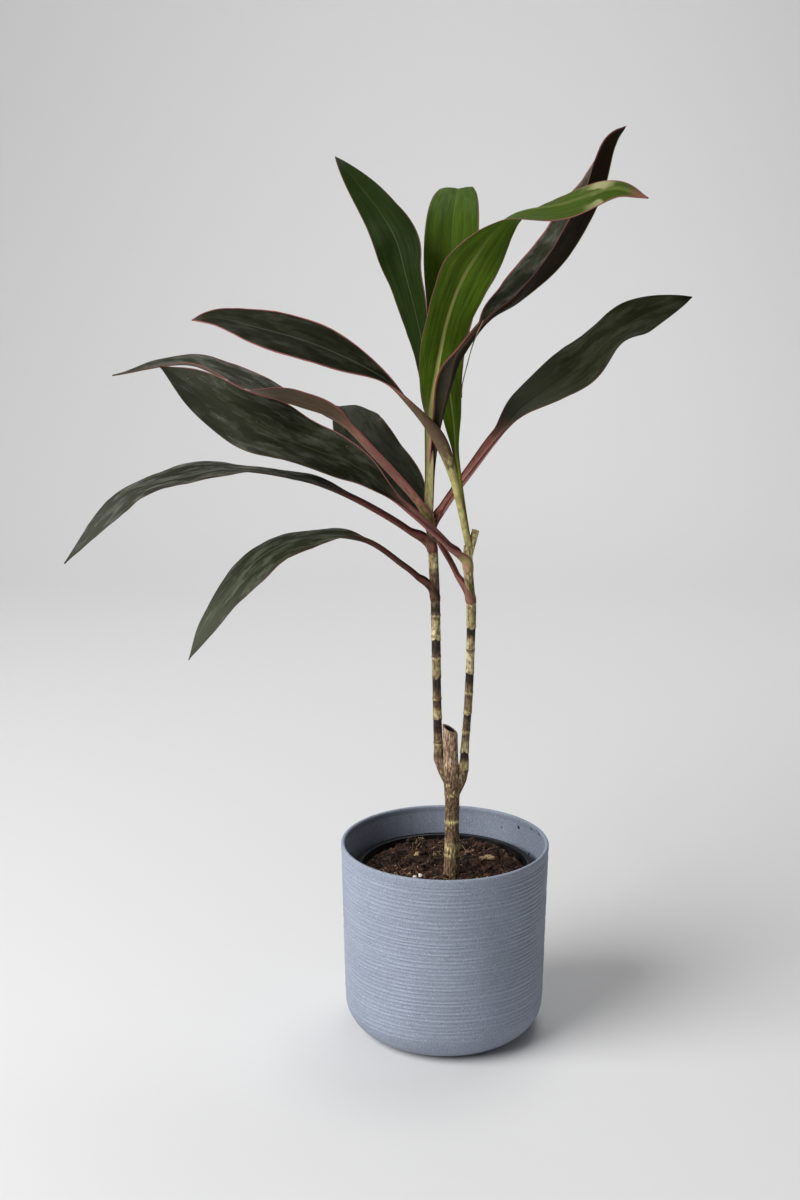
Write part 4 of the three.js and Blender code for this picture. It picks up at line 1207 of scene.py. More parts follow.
# Each station gives a point of the midrib and the way that the upper face looks there.
# stalk: its half width at the foot and at the neck, and its thickness; on some, how far its halves
# are folded up in degrees, how much its sheath swells, and where along the stalk.
# stalk_share and widest_at are shares of the length of the leaf and of its blade. A higher taper
# narrows the blade sooner. fold: how far the blade's halves are folded up, in degrees.
# wave, waves, wave_phase: height, number and phase of the waves along the edges.
# clasp: the cane, the height of the sheath's foot, and how far its wings rise above its midrib.
LEAVES = {
    "leaf_low_left": dict(
        stations=[
            ((-7, -10, 319), (-0.5, -0.1, 0.9)), ((-12.5, -10.5, 329.5), (-0.4, -0.2, 0.9)),
            ((-22, -13.5, 341), (-0.3, -0.3, 0.9)), ((-31, -17, 349), (-0.3, -0.3, 0.9)),
            ((-57, -26, 368), (0, -0.2, 1)),
            ((-96, -35, 371), (-0.2, -0.2, 0.9)), ((-125, -45, 360), (-0.4, -0.4, 0.8)),
            ((-145, -56, 339), (-0.6, -0.5, 0.6)), ((-160, -66, 318), (-0.6, -0.7, 0.4)),
            ((-172, -72, 296), (-0.5, -0.8, 0.3)),
        ],
        stalk=dict(foot=2.6, neck=2, thick=2),
        stalk_share=0.31, half_width=19.0, widest_at=0.45, taper=2.1, fold=-6,
        wave=1, waves=3, wave_phase=0.4,
        clasp=("left", 322, 3.2),
    ),
    "leaf_mid_left": dict(
        stations=[
            ((-9.5, -10, 351), (-0.5, -0.1, 0.9)), ((-13.8, -10, 359), (-0.4, -0.2, 0.9)),
            ((-18.5, -12, 365), (-0.3, -0.3, 0.9)), ((-39, -18, 381), (0.2, -0.4, 0.9)),
            ((-79, -24, 403), (0.1, -0.35, 0.9)),
            ((-113, -29, 413), (0, 0, 1)), ((-154, -34, 417), (0, -0.1, 1)),
            ((-180, -40, 412), (-0.1, -0.2, 1)), ((-205, -46, 405), (-0.5, -0.3, 0.8)),
            ((-224, -54, 390), (-0.5, -0.5, 0.7)), ((-253, -62, 359), (-0.6, -0.6, 0.6)),
        ],
        stalk=dict(foot=2.8, neck=2.2, thick=2),
        stalk_share=0.26, half_width=18.9, widest_at=0.50, taper=2.2, fold=3,
        wave=1, waves=3.5, wave_phase=1.2,
        clasp=("left", 356, 5.5),
    ),
    "leaf_long_left": dict(
        stations=[
            ((-12, -12.5, 370), (0.3, 0.9, 0.2)), ((-13.3, -15.2, 379), (0.3, 0.9, 0.3)),
            ((-17, -15.5, 387.5), (0.4, 0.8, 0.4)), ((-23.6, -13, 396), (0.4, 0.8, 0.4)),
            ((-32.6, -8, 405.5), (0.4, 0.8, 0.4)), ((-48, -1, 421), (0.4, 0.8, 0.5)),
            ((-74, 9, 445), (0.3, 0.65, 0.7)), ((-104, 16, 455), (0.3, 0.35, 0.9)),
            ((-131, 24, 462), (0.2, -0.2, 1)), ((-160, 32, 474), (0.2, -0.1, 1)),
            ((-182, 40, 480), (-0.1, -0.2, 1)), ((-235, 46, 472), (-0.2, -0.2, 1)),
        ],
        stalk=dict(foot=3.0, neck=3.7, thick=2, fold=16),
        stalk_share=0.34, half_width=19.1, widest_at=0.40, taper=1.9, fold=20,
        wave=1, waves=3, wave_phase=2,
        clasp=("left", 378.5, 0),
    ),
    "leaf_right": dict(
        stations=[
            ((-11, -9, 366), (0.4, 0, 0.9)), ((-7, -4, 377), (0.2, 0, 1)),
            ((1, 2, 389), (-0.3, -0.2, 0.9)), ((17, 9, 410), (-0.4, -0.5, 0.8)),
            ((34, 17, 432), (-0.3, -0.7, 0.6)), ((53, 25, 452), (-0.4, -0.7, 0.6)),
            ((89, 33, 476), (-0.3, -0.7, 0.6)), ((115, 40, 499), (-0.4, -0.5, 0.8)),
            ((137, 46, 513), (-0.1, -0.8, 0.5)), ((172, 50, 526), (0.1, -0.9, 0.3)),
        ],
        stalk=dict(foot=3.8, neck=4.2, thick=2),
        stalk_share=0.34, half_width=19.4, widest_at=0.50, taper=1.8, fold=11,
        wave=1.2, waves=3, wave_phase=0.9,
        clasp=("left", 371, 3),
    ),
    "leaf_broad_left": dict(
        stations=[
            ((15.5, -13, 341), (0, -0.4, 0.9)), ((11.2, -13.5, 348), (0.2, -0.4, 0.9)),
            ((6, -15.5, 355), (0.3, -0.5, 0.8)), ((-1, -18.5, 363.5), (0.3, -0.5, 0.8)),
            ((-17, -24, 380), (0.2, -0.8, 0.6)), ((-43, -28, 403), (0, -0.9, 0.4)),
            ((-60, -29, 417), (0, -0.9, 0.3)), ((-102, -27, 434), (0.2, -0.8, 0.6)),
            ((-138, -22, 452), (-0.2, -1, -0.1)), ((-161, -15, 464), (-0.1, -1, 0.1)),
            ((-194, -6, 483), (0.3, -0.6, 0.7)),
        ],
        stalk=dict(foot=3.1, neck=2.6, thick=2),
        stalk_share=0.27, half_width=20.7, widest_at=0.56, taper=2.0, fold=18,
        wave=1, waves=3.5, wave_phase=0,
        clasp=("right", 343, 4),
    ),
    "leaf_behind": dict(
        stations=[
            ((16.8, -12, 318), (0, 0, 1)), ((12.4, -11, 327), (0.2, -0.2, 0.9)),
            ((8.7, -7, 335.5), (0.3, -0.3, 0.9)), ((4.2, -2, 344.8), (0.3, -0.3, 0.9)),
            ((-4, 7, 358), (0.2, -0.5, 0.8)), ((-16, 18, 379), (0.2, -0.7, 0.7)),
            ((-30, 30, 399), (0.1, -0.8, 0.6)), ((-46, 42, 415), (0.2, -0.8, 0.6)),
            ((-60, 58, 429), (-0.1, -0.8, 0.6)), ((-66, 80, 440), (0.1, -0.3, 0.9)),
            ((-78, 106, 443), (0.1, 0, 1)), ((-87, 132, 436), (0.1, 0.3, 0.9)),
        ],
        stalk=dict(foot=1.8, neck=1.8, thick=1.7),
        stalk_share=0.29, half_width=18.8, widest_at=0.47, taper=1.7, fold=6,
        wave=1, waves=3, wave_phase=2.6,
        clasp=("right", 320.5, 3),
    ),
    "leaf_upper_left": dict(
        stations=[
            ((14.6, -12.5, 361), (0.5, 0.8, 0.3)), ((8.4, -16, 389), (0.5, 0.8, 0.3)),
            ((2.6, -20, 412), (0.3, 0.9, 0.3)), ((-6, -24, 434), (0.2, 0.9, 0.3)),
            ((-27, -29, 461), (0.5, 0.3, 0.8)), ((-42, -29, 476), (0.2, -0.8, 0.6)),
            ((-86, -26, 498), (0.2, -0.8, 0.6)), ((-128, -22, 510), (0.2, -0.6, 0.7)),
            ((-156, -17, 516), (0.2, -0.6, 0.7)), ((-171, -12, 514), (0.2, -0.8, 0.6)),
        ],
        stalk=dict(foot=2.1, neck=2, thick=1.8, fold=42, sheath=3.2, sheath_at=0.66),
        stalk_share=0.44, half_width=17.4, widest_at=0.57, taper=2.3, fold=5,
        wave=0.8, waves=2.5, wave_phase=1,
    ),
    "leaf_upright_green": dict(
        stations=[
            ((14.8, -11.5, 361), (-0.2, -1, 0.1)), ((10, -11.5, 390), (-0.2, -1, 0.1)),
            ((6.2, -8, 418), (-0.2, -1, 0.1)), ((4, -4, 446), (-0.5, -0.8, 0.1)),
            ((1, -3, 472), (-0.5, -0.9, 0.1)), ((2, 1, 501), (-0.3, -0.9, 0.1)),
            ((12, 7, 530), (-0.3, -1, 0.1)), ((22, 15, 553), (-0.2, -1, 0.1)),
        ],
        stalk=dict(foot=1.7, neck=1.9, thick=1.6),
        stalk_share=0.30, half_width=13.1, widest_at=0.56, taper=2.0, fold=16,
        wave=0.6, waves=2, wave_phase=0.3,
    ),
    "leaf_centre_front": dict(
        stations=[
            ((-13, -12, 383), (0, -1, 0)), ((-12, -13, 417), (0, -1, 0)),
            ((-12, -15, 452), (0.1, -1, 0)), ((-8, -17, 480), (0.2, -1, 0.1)),
            ((-2, -21, 512), (0.5, -0.8, 0)), ((4, -25, 531), (0.5, -0.9, -0.1)),
            ((13, -31, 550), (0.4, -0.9, -0.1)), ((37, -44, 580), (0.4, -0.2, -0.9)),
            ((72, -58, 589), (0.2, 0.6, -0.8)), ((102, -68, 598), (0.2, 0.8, -0.6)),
            ((121, -76, 592), (0.4, 0.8, -0.5)),
        ],
        stalk=dict(foot=2.7, neck=1.8, thick=2.8, fold=8),
        stalk_share=0.21, half_width=19.4, widest_at=0.45, taper=1.6, fold=9,
        wave=0.8, waves=2.5, wave_phase=0.6,
    ),
    "leaf_tall_right": dict(
        stations=[
            ((-12.2, -9, 383), (0.5, -0.9, 0)), ((-10.8, -11, 417), (0.3, -0.9, 0)),
            ((-7, -20, 446), (-0.5, -0.8, 0.3)), ((0, -24, 475), (-0.7, -0.7, 0.3)),
            ((9, -23, 493), (-0.8, -0.1, 0.6)), ((26, -17, 515), (-0.6, -0.5, 0.6)),
            ((46, -8, 526), (-0.6, -0.5, 0.6)), ((77, 2, 552), (-0.8, -0.4, 0.5)),
            ((102, 14, 594), (-0.9, -0.2, 0.3)), ((112, 24, 629), (-1, 0.1, 0.2)),
            ((119, 30, 640), (-0.8, -0.4, 0.5)),
        ],
        stalk=dict(foot=2.2, neck=2.2, thick=1.8, fold=40, sheath=6, sheath_at=0.72),
        stalk_share=0.44, half_width=23.0, widest_at=0.47, taper=1.6, fold=56,
        wave=0.5, waves=2, wave_phase=0,
    ),
    "leaf_centre_back": dict(
        stations=[
            ((-12, -8, 383), (0, -1, 0)), ((-12, -8, 416), (0, -1, 0)),
            ((-11, -1, 450), (0, -1, 0.1)), ((-7, 8, 479), (0, -1, 0.1)),
            ((0, 16, 513), (0, -1, 0.2)), ((2, 26, 554), (0, -1, 0.3)),
            ((4, 42, 579), (0, -0.75, 0.65)), ((7, 66, 594), (0, -0.35, 0.94)),
            ((10, 93, 600), (0, 0.2, 1)), ((17, 120, 588), (0, 0.5, 0.8)),
        ],
        stalk=dict(foot=2.2, neck=1.7, thick=1.8, fold=20),
        stalk_share=0.30, half_width=18.6, widest_at=0.49, taper=1.9, fold=5,
        wave=0.8, waves=3, wave_phase=1.4,
    ),
    "leaf_tall_left": dict(
        stations=[
            ((-13.4, -9, 383.5), (-0.1, -1, 0)), ((-13.4, -10, 416), (-0.1, -1, 0)),
            ((-14, -8, 451), (-0.4, -0.9, 0)), ((-15, -6, 480), (-0.8, -0.6, 0)),
            ((-20, -2, 510), (-0.8, -0.6, 0)), ((-28, 2, 541), (-0.7, -0.7, 0)),
            ((-35, 8, 565), (-0.2, -1, 0.2)), ((-46, 16, 584), (-0.4, -0.9, 0)),
            ((-76, 24, 620), (-0.2, -1, 0.1)),
        ],
        stalk=dict(foot=1.9, neck=1.7, thick=1.8, fold=25),
        stalk_share=0.29, half_width=16.1, widest_at=0.52, taper=1.8, fold=7,
        wave=0.6, waves=2.5, wave_phase=2.2,
    ),
}

# A dry fibre that has come loose from the edge of the tall right leaf.
LOOSE_FIBRE = [
    (22.6, -23.5, 514.5), (16.5, -24, 500.8), (12.1, -23, 484.9), (9, -21, 470.8), (8.9, -20, 463),
]
LOOSE_FIBRE_RADIUS = 0.45

# How each leaf looks: face is its upper face, and sheen_streak the colour of its light streaks of
# painted sheen. back is its underside. left and right are the margins on the -1 and +1 side of the
# leaf: their strength at the stalk, the middle and the tip. shine and tip_sheen: strength of the
# painted sheen, all over and near the tip. root_light: strength of the painted light near the stalk,
# where other leaves shade it. foot_end: where the colour of the stalk's foot ends. rib_width and rim:
# width of the pale midrib and of the margins in mm. rib_end: where the midrib fades. specks: water
# marks. glare: strength of the painted glare on the underside.
FINISHES = {
    "leaf_low_left": dict(
        face=(0.019, 0.022, 0.0095), sheen_streak=(0.11, 0.118, 0.085), shine=0.7, back=(0.025, 0.036, 0.010),
        rib=(0.07, 0.08, 0.055), stalk=(0.10, 0.050, 0.032), foot=(0.055, 0.036, 0.023),
        margin=DEEP_PINK, left=(0.8, 0.7, 0.1), right=(0.5, 0.1, 0), tip=(0.06, 0.068, 0.037),
        tip_sheen=0.7,
    ),
    "leaf_mid_left": dict(
        face=(0.016, 0.018, 0.0115), sheen_streak=(0.125, 0.125, 0.10), shine=0.8, back=(0.025, 0.036, 0.010),
        rib=(0.065, 0.070, 0.052), stalk=(0.16, 0.066, 0.045), foot=(0.11, 0.055, 0.040),
        margin=DEEP_PINK, left=(0.8, 0.5, 0.1), right=(0.6, 0.2, 0), tip=(0.05, 0.055, 0.035),
        tip_sheen=0.45,
    ),
    "leaf_long_left": dict(
        face=(0.026, 0.029, 0.018), sheen_streak=(0.12, 0.12, 0.10), shine=0.8, back=(0.11, 0.075, 0.046),
        rib=TAN, stalk=(0.34, 0.160, 0.120), foot=OLIVE, foot_end=-0.78, margin=PINK,
        left=(1, 0.8, 0.1), right=(1, 0.7, 0), tip=(0.045, 0.048, 0.028), rim=1.1,
    ),
    # Painted light: the stalk's colour is made brighter, and root_light paints light on the blade's
    # foot, where the leaves above shade them.
    "leaf_right": dict(
        face=(0.020, 0.023, 0.008), sheen_streak=(0.11, 0.115, 0.08), shine=0.3, back=MAROON,
        rib=(0.045, 0.050, 0.024), stalk=(0.72, 0.36, 0.30), foot=(0.12, 0.06, 0.04), margin=ROSE,
        left=(1, 0.3, 0), right=(1, 0.3, 0), tip=(0.011, 0.0125, 0.0027), root_light=0.8,
        root_light_zone=(0.45, 0.12),
    ),
    "leaf_broad_left": dict(
        face=(0.0130, 0.0143, 0.0055), sheen_streak=(0.075, 0.078, 0.058), shine=0.6, back=MAROON,
        rib=(0.030, 0.033, 0.017), stalk=(0.30, 0.135, 0.115), foot=CREAM_GREEN, margin=ROSE,
        left=(1, 0.2, 0.1), right=(1, 1, 0.7), tip=(0.022, 0.024, 0.011), specks=0.8,
        tip_sheen=0.4,
    ),
    "leaf_behind": dict(
        face=(0.022, 0.024, 0.013), sheen_streak=(0.055, 0.057, 0.04), shine=0.5, back=MAROON,
        rib=(0.035, 0.038, 0.022), stalk=(0.24, 0.105, 0.09), foot=(0.24, 0.13, 0.10), margin=ROSE,
        left=(1, 0.5, 0), right=(1, 0.5, 0), tip=(0.02, 0.023, 0.011),
    ),
    "leaf_upper_left": dict(
        face=(0.0100, 0.0108, 0.0035), sheen_streak=(0.036, 0.038, 0.022), shine=0.65,
        back=(0.11, 0.072, 0.042), rib=(0.06, 0.06, 0.042), stalk=(0.14, 0.092, 0.055),
        foot=CREAM_GREEN, foot_end=-0.50, margin=PINK, left=(0.6, 1, 0.9), right=(0.6, 1, 0.8),
        tip=(0.06, 0.04, 0.028), rim=0.9, rib_width=0.5,
    ),
    "leaf_upright_green": dict(
        face=(0.075, 0.135, 0.006), sheen_streak=(0.13, 0.18, 0.03), shine=0.35, back=(0.07, 0.12, 0.01),
        rib=(0.27, 0.30, 0.10), stalk=(0.20, 0.24, 0.03), foot=OLIVE, foot_end=-0.75, margin=ROSE,
        left=(0.2, 0.8, 0.3), right=(0.2, 0.6, 0.3), tip=(0.06, 0.11, 0.004),
    ),
    "leaf_centre_front": dict(
        face=(0.068, 0.125, 0.007), sheen_streak=(0.10, 0.16, 0.015), shine=0.4, back=(0.042, 0.072, 0.006),
        rib=(0.46, 0.46, 0.15), stalk=(0.46, 0.42, 0.19), foot=(0.56, 0.49, 0.26), margin=ROSE,
        left=(0.2, 0.9, 0.9), right=(0.2, 0.7, 0.9), tip=(0.20, 0.08, 0.055), rib_width=1.6, rim=0.8,
        rib_end=(0.2, 0.6), glare=0.45,
    ),
    "leaf_tall_right": dict(
        face=(0.030, 0.033, 0.018), sheen_streak=(0.145, 0.15, 0.12), shine=0.6, back=(0.018, 0.011, 0.004),
        rib=(0.36, 0.32, 0.09), stalk=(0.024, 0.022, 0.012), foot=(0.42, 0.34, 0.16), margin=PINK,
        left=(1, 0.9, 0.7), right=(0.1, 0.7, 0.7), tip=(0.03, 0.026, 0.016), rib_width=0.6, rim=1.2,
    ),
    # root_light paints light on the lower blade, where the tall left leaf casts its shadow.
    "leaf_centre_back": dict(
        face=(0.040, 0.078, 0.003), sheen_streak=(0.13, 0.21, 0.02), shine=0.1, back=(0.05, 0.09, 0.006),
        rib=(0.07, 0.12, 0.012), stalk=(0.30, 0.34, 0.08), foot=(0.50, 0.44, 0.22), margin=ROSE,
        left=(0.2, 0.7, 0.5), right=(0.2, 0.7, 0.5), tip=(0.040, 0.075, 0.005), root_light=0.9,
        root_light_zone=(0.62, 0.30),
    ),
    "leaf_tall_left": dict(
        face=(0.0075, 0.0180, 0.0003), sheen_streak=(0.025, 0.038, 0.006), shine=0.15,
        back=(0.03, 0.05, 0.010), rib=(0.045, 0.055, 0.020), stalk=(0.17, 0.21, 0.045),
        foot=(0.50, 0.44, 0.22), margin=ROSE, left=(0.2, 0.8, 0.6), right=(0.6, 0.7, 0),
        tip=(0.035, 0.037, 0.025), tip_sheen=0.35, rib_width=0.5, rim=0.6,
    ),
}
GREEN_LEAVES = ("leaf_upright_green", "leaf_centre_front", "leaf_centre_back")


class LeafLine:
    """A leaf's midrib, and the way that its upper face looks, by share of its length."""

    def __init__(self, stations):
        self.places = [place for place, _ in stations]
        self.ways = [way for _, way in stations]
        self.spots = np.linspace(0, 1, 600)
        steps = np.diff(curve_through(self.places, self.spots), axis=0)
        self.lengths = np.concatenate([[0], np.cumsum(np.linalg.norm(steps, axis=1))])
        self.length = self.lengths[-1]

    def at(self, share):
        """The midrib's points, the way along it and the way its upper face looks."""
        spot = np.interp(share * self.length, self.lengths, self.spots)
        ahead = curve_through(self.places, np.minimum(spot + 0.002, 1))
        behind = curve_through(self.places, np.maximum(spot - 0.002, 0))
        along = unit(ahead - behind)
        up = curve_through(self.ways, spot, even=True)
        up = unit(up - (up * along).sum(1, keepdims=True) * along)
        return curve_through(self.places, spot), along, up


def half_width(leaf, share):
    """Half width of a leaf: its stalk, the sheath that swells on young ones, and its blade."""
    stalk, start, middle = leaf["stalk"], leaf["stalk_share"], leaf["widest_at"]
    q = np.minimum(share / start, 1)
    s = np.clip((share - start) / (1 - start), 1e-6, 1 - 1e-6)
    swell = stalk.get("sheath", 0) * hump(q, stalk.get("sheath_at", 0.7), SHEATH_SPREAD)
    petiole = (mix(stalk["foot"], stalk["neck"], q) + swell) * (1 - ease(0, 0.9, s))
    power = leaf["taper"]
    blade = leaf["half_width"] * (s / middle) ** (power * middle)
    blade = blade * ((1 - s) / (1 - middle)) ** (power * (1 - middle))
    return np.maximum(np.hypot(petiole, blade), 0.3)


def shares_beyond_cane(line, cane, row):
    """Shares of the midrib for rows that pass the sheath first and start where it leaves the cane."""
    middle, _, _ = line.at(row)
    x, y, radius = cane.at(middle[:, 2])
    reach = np.hypot(middle[:, 0] - x, middle[:, 1] - y) - radius
    free = row[np.argmax(reach > SHEATH_CLEAR)]
    return free + (1 - free) * np.maximum(row - SHEATH_ROWS, 0) / (1 - SHEATH_ROWS)


def wrap_sheath(at, cane, foot, wing_rise):
    """Wraps the first rows of a leaf round a cane, from the height of the sheath's foot up."""
    row, centre = at["row"], at["centre"]
    held = 1 - ease(SHEATH_ROWS, SHEATH_ROWS + RELEASE_ROWS, row)
    height = mix(foot, centre[0][2], np.minimum(row / SHEATH_ROWS, 1))
    x, y, cane_radius = cane.at(height)
    away = unit(centre[0][:2] - np.array([x[-1], y[-1]]))
    inner = cane_radius + SHEATH_CLEAR
    in_sheath = row < SHEATH_ROWS
    sheath = np.stack([x + away[0] * inner, y + away[1] * inner, height], 1)
    centre[in_sheath] = sheath[in_sheath]
    calm = round((len(row) - 1) * (SHEATH_ROWS + RELEASE_ROWS))
    for _ in range(12):
        centre[2:calm] = (centre[1:calm - 1] + 2 * centre[2:calm] + centre[3:calm + 1]) / 4
    hold = held[:, None]
    at["up"] = unit(mix(at["up"], np.array([-away[0], -away[1], 0]), hold))
    at["along"] = unit(mix(at["along"], np.array([0, 0, 1.0]), hold))
    wrap = np.radians(mix(SHEATH_WRAP, SHEATH_MOUTH, ease(0, SHEATH_ROWS * 1.4, row)))
    at["bend"] = mix(at["bend"], wrap, held)
    at["radius"] = mix(at["radius"], inner, held)
    at["width"] = mix(at["width"], at["radius"] * at["bend"], held)
    at["held"] = held
    raised = ease(0, SHEATH_ROWS, row) * (1 - ease(SHEATH_ROWS, SHEATH_ROWS + RISE_ROWS, row))
    at["rise"] = wing_rise * raised


def leaf_rows(leaf, rows):
    """The cross rows of a leaf from the foot of its sheath to its tip, as arrays by name."""
    line = LeafLine(leaf["stations"])
    row = np.linspace(0, 1, rows + 1)
    share = row
    cane = None
    if "clasp" in leaf:
        side, foot, wing_rise = leaf["clasp"]
        cane = CANES[side]
        share = shares_beyond_cane(line, cane, row)
    start = leaf["stalk_share"]
    centre, along, up = line.at(share)
    width = half_width(leaf, share)
    opened = ease(start - 0.05, start + 0.18, share)
    fold = np.radians(mix(leaf["stalk"].get("fold", STALK_FOLD), leaf["fold"], opened))
    at = dict(
        row=row, share=share, centre=centre, along=along, up=up, width=width, opened=opened,
        fold=fold, bend=2 * fold, radius=width / (2 * np.sin(fold)),
        held=np.zeros_like(row), rise=np.zeros_like(row),
        blade=np.where(share > start, (share - start) / (1 - start), share / start - 1),
    )
    if cane:
        wrap_sheath(at, cane, foot, wing_rise)
    at["across"] = unit(np.cross(at["along"], at["up"]))
    at["up"] = np.cross(at["across"], at["along"])
    steps = np.linalg.norm(np.diff(at["centre"], axis=0), axis=1)
    at["run"] = np.concatenate([[0], np.cumsum(steps)])
    return at


def leaf_ripple(run, across, reach, seed):
    """Slow uneven waves of a blade, stronger near its edges."""
    values = []
    for l, a in zip(run, across):
        slow = noise.noise(Vector((l / 16, a / 9, seed * 3)))
        values.append(slow + 0.5 * noise.noise(Vector((l / 7, a / 4, seed * 5))))
    return np.array(values) * (0.5 + reach)


def leaf_section(leaf, look, at, v):
    """The upper face over its midrib: how far across, how high, and its slope there."""
    reach = np.abs(v)
    # The stalk's section is an arc, the blade's a shallow V with rounded halves.
    angle = at["bend"] * v
    round_x, round_z = at["radius"] * np.sin(angle), at["radius"] * (1 - np.cos(angle))
    belly = 0.035 * at["width"] * np.sin(math.pi * reach)
    vee_x = v * at["width"] * np.cos(at["fold"])
    vee_z = reach * at["width"] * np.sin(at["fold"]) + belly
    x, z = mix(round_x, vee_x, at["opened"]), mix(round_z, vee_z, at["opened"])
    blade = np.maximum(at["blade"], 0)
    phase = leaf["wave_phase"] + 1.7 * (v > 0)
    swing = np.sin(math.pi * blade) * np.sin(2 * math.pi * leaf["waves"] * blade + phase)
    z += leaf["wave"] * v**2 * at["opened"] * swing
    z += look.flare * 4 * at["held"] * (1 - at["held"]) * v**2 * (1 - at["opened"])
    ripple = leaf_ripple(at["run"], v * at["width"], reach, leaf["wave_phase"])
    z += look.ripple * at["opened"] * ripple
    return x, z, mix(angle, at["fold"] * np.clip(v * 8, -1, 1), at["opened"])


def leaf_wall(leaf, look, at, v):
    """Thickness of a leaf: its thin sheath, its stalk, its midrib and its blade."""
    thick = mix(leaf["stalk"]["thick"], look.blade * 1.5, ease(leaf["stalk_share"], 0.8, at["share"]))
    stalk = look.blade + (thick - look.blade) * np.sqrt(np.maximum(1 - v**2, 0))
    lip = mix(0.25, 1, ease(0, 0.03, at["row"]))
    in_sheath = at["row"] < SHEATH_ROWS + RELEASE_ROWS
    stalk = mix(stalk, SHEATH_WALL * lip, at["held"] * in_sheath)
    blade = look.blade + (thick - look.blade) * hump(v * at["width"], 0, 1.5)
    return mix(stalk, blade, at["opened"]) * mix(1, 0.6, np.abs(v)**6)


def leaf_mesh(name, leaf):
    """One leaf as a closed mesh, with attributes that tell its material where each point lies."""
    look = bpy.context.scene.cordyline_leaf
    obj = block(name + "_fine", look.across, look.along)
    flat = coordinates(obj)
    rows = leaf_rows(leaf, look.along)
    index = np.rint(flat[:, 1] * look.along).astype(int)
    at = {key: value[index] for key, value in rows.items()}
    v, under = flat[:, 0], (flat[:, 2] < -0.5).astype(float)
    reach = np.abs(v)
    x, z, slope = leaf_section(leaf, look, at, v)
    wall = leaf_wall(leaf, look, at, v)
    x += under * wall * np.sin(slope)
    z -= under * wall * np.cos(slope)
    points = at["centre"] + x[:, None] * at["across"] + z[:, None] * at["up"]
    # The sheath's foot has an uneven hem, and its wings rise above its midrib.
    angle = at["bend"] * v
    hem = np.maximum(1 - at["row"] / SHEATH_ROWS, 0) * at["held"]
    points[:, 2] += hem * (0.5 * np.sin(3 * angle + leaf["wave_phase"]) + 0.25 * np.sin(8 * angle))
    points[:, 2] += at["rise"] * reach**1.5
    move_points(obj, points)
    place = np.stack([v * at["width"], at["run"], (1 - reach) * at["width"]], 1)
    write_attribute(obj, "blade", place, "FLOAT_VECTOR")
    write_attribute(obj, "zones", np.stack([v, at["blade"], under], 1), "FLOAT_VECTOR")
    pick(obj)
    edit_all()
    face_outwards()
    smooth(obj, degrees=55)
    return obj


# Zones of a leaf for its finish, as shares of its blade. On the stalk they run from -1 to 0.
BLADE_FOOT = (-0.12, 0.10)
TIP_ZONE = (0.93, 0.99)
# Where the painted sheen near the tip starts, and where it is full.
TIP_SHEEN = (0.45, 0.95)
# Painted light near the stalk, where other leaves shade the blade: none at the first share, full at the
# second.
ROOT_LIGHT = (0.30, 0.05)
RIB_END = (0.6, 1.0)
# Where the painted glare on an underside starts and ends.
GLARE_START, GLARE_END = (0.80, 0.87), (0.88, 0.92)
FOOT_END = -0.85
# Widths in mm.
RIB_WIDTH = 0.7
MARGIN_WIDTH = 0.7

WATER_SPECK = (0.40, 0.40, 0.34)
# The colour of the painted glare on an underside.
PAINTED_GLARE = (0.55, 0.50, 0.27)


class LeafPlaces:
    """What the mesh tells a leaf's material. across, run and edge are in mm."""

    def __init__(self, tree):
        self.blade = attribute(tree, "blade", "Vector")
        zones = attribute(tree, "zones", "Vector")
        self.across, run, self.edge = split(tree, self.blade)
        self.side, self.share, self.under = split(tree, zones)
        rays = {0: product(tree, self.side, 19.0), 1: product(tree, run, 0.028), 2: self.under}
        rays = shade(tree, "ShaderNodeCombineXYZ", None, rays).outputs[0]
        self.wide, self.narrow = streaks(tree, rays, 0.32, 1.5)

    def flat(self, tree, across, along):
        """The leaf laid flat, stretched for a pattern."""
        return stretched(tree, self.blade, (across, along, 0))


def both_tones(tree, share, colour):
    """A colour that is lighter where the share is low and darker where it is high."""
    return blended(tree, share, scaled(colour, 1.25), scaled(colour, 0.75))


def upper_face(tree, finish, at):
    """The upper face: dark, with light streaks of painted sheen, and painted light near the stalk."""
    # Painted sheen: patches where light grey streaks stand in for the lamp's soft reflection.
    painted_sheen = between(tree, noise_value(tree, at.flat(tree, 0.16, 0.04), 1.0, 4, 0.6), 0.42, 0.66)
    lines = mixed(tree, 0.65, at.wide, at.narrow)
    amount = product(tree, lines, product(tree, painted_sheen, finish["shine"] * 2))
    zones = {"tip_sheen": TIP_SHEEN, "root_light": finish.get("root_light_zone", ROOT_LIGHT)}
    for key, (low, high) in zones.items():
        if key in finish:
            zone = between(tree, at.share, low, high, 0.0, finish[key])
            zone = product(tree, zone, between(tree, at.narrow, 0, 1, 0.35, 1.0))
            amount = sums(tree, "MAXIMUM", amount, zone)
    colour = blended(tree, amount, both_tones(tree, at.wide, finish["face"]), finish["sheen_streak"])
    veins = blended(tree, at.narrow, (1.22, 1.22, 1.22), (0.76, 0.77, 0.76))
    colour = blended(tree, 1.0, colour, veins, "MULTIPLY")
    if "specks" in finish:
        dots = flecks(tree, at.flat(tree, 1, 0.8), scale=0.9, threshold=0.80, softness=0.02)
        colour = tinted(tree, colour, WATER_SPECK, dots, finish["specks"])
    return colour, painted_sheen


def underside(tree, finish, at):
    """The underside, with blotches of painted glare near the tip where the finish has them."""
    back = both_tones(tree, at.narrow, finish["back"])
    if "glare" in finish:
        start = between(tree, at.share, *GLARE_START)
        zone = product(tree, start, between(tree, at.share, *GLARE_END, 1.0, 0.0))
        cloud = noise_value(tree, at.flat(tree, 0.09, 0.05), 1.0, 2)
        # Painted glare: pale blotches on the underside near the tip.
        pale = between(tree, cloud, 0.50, 0.62, 0.0, finish["glare"])
        back = tinted(tree, back, PAINTED_GLARE, pale, zone)
    return back


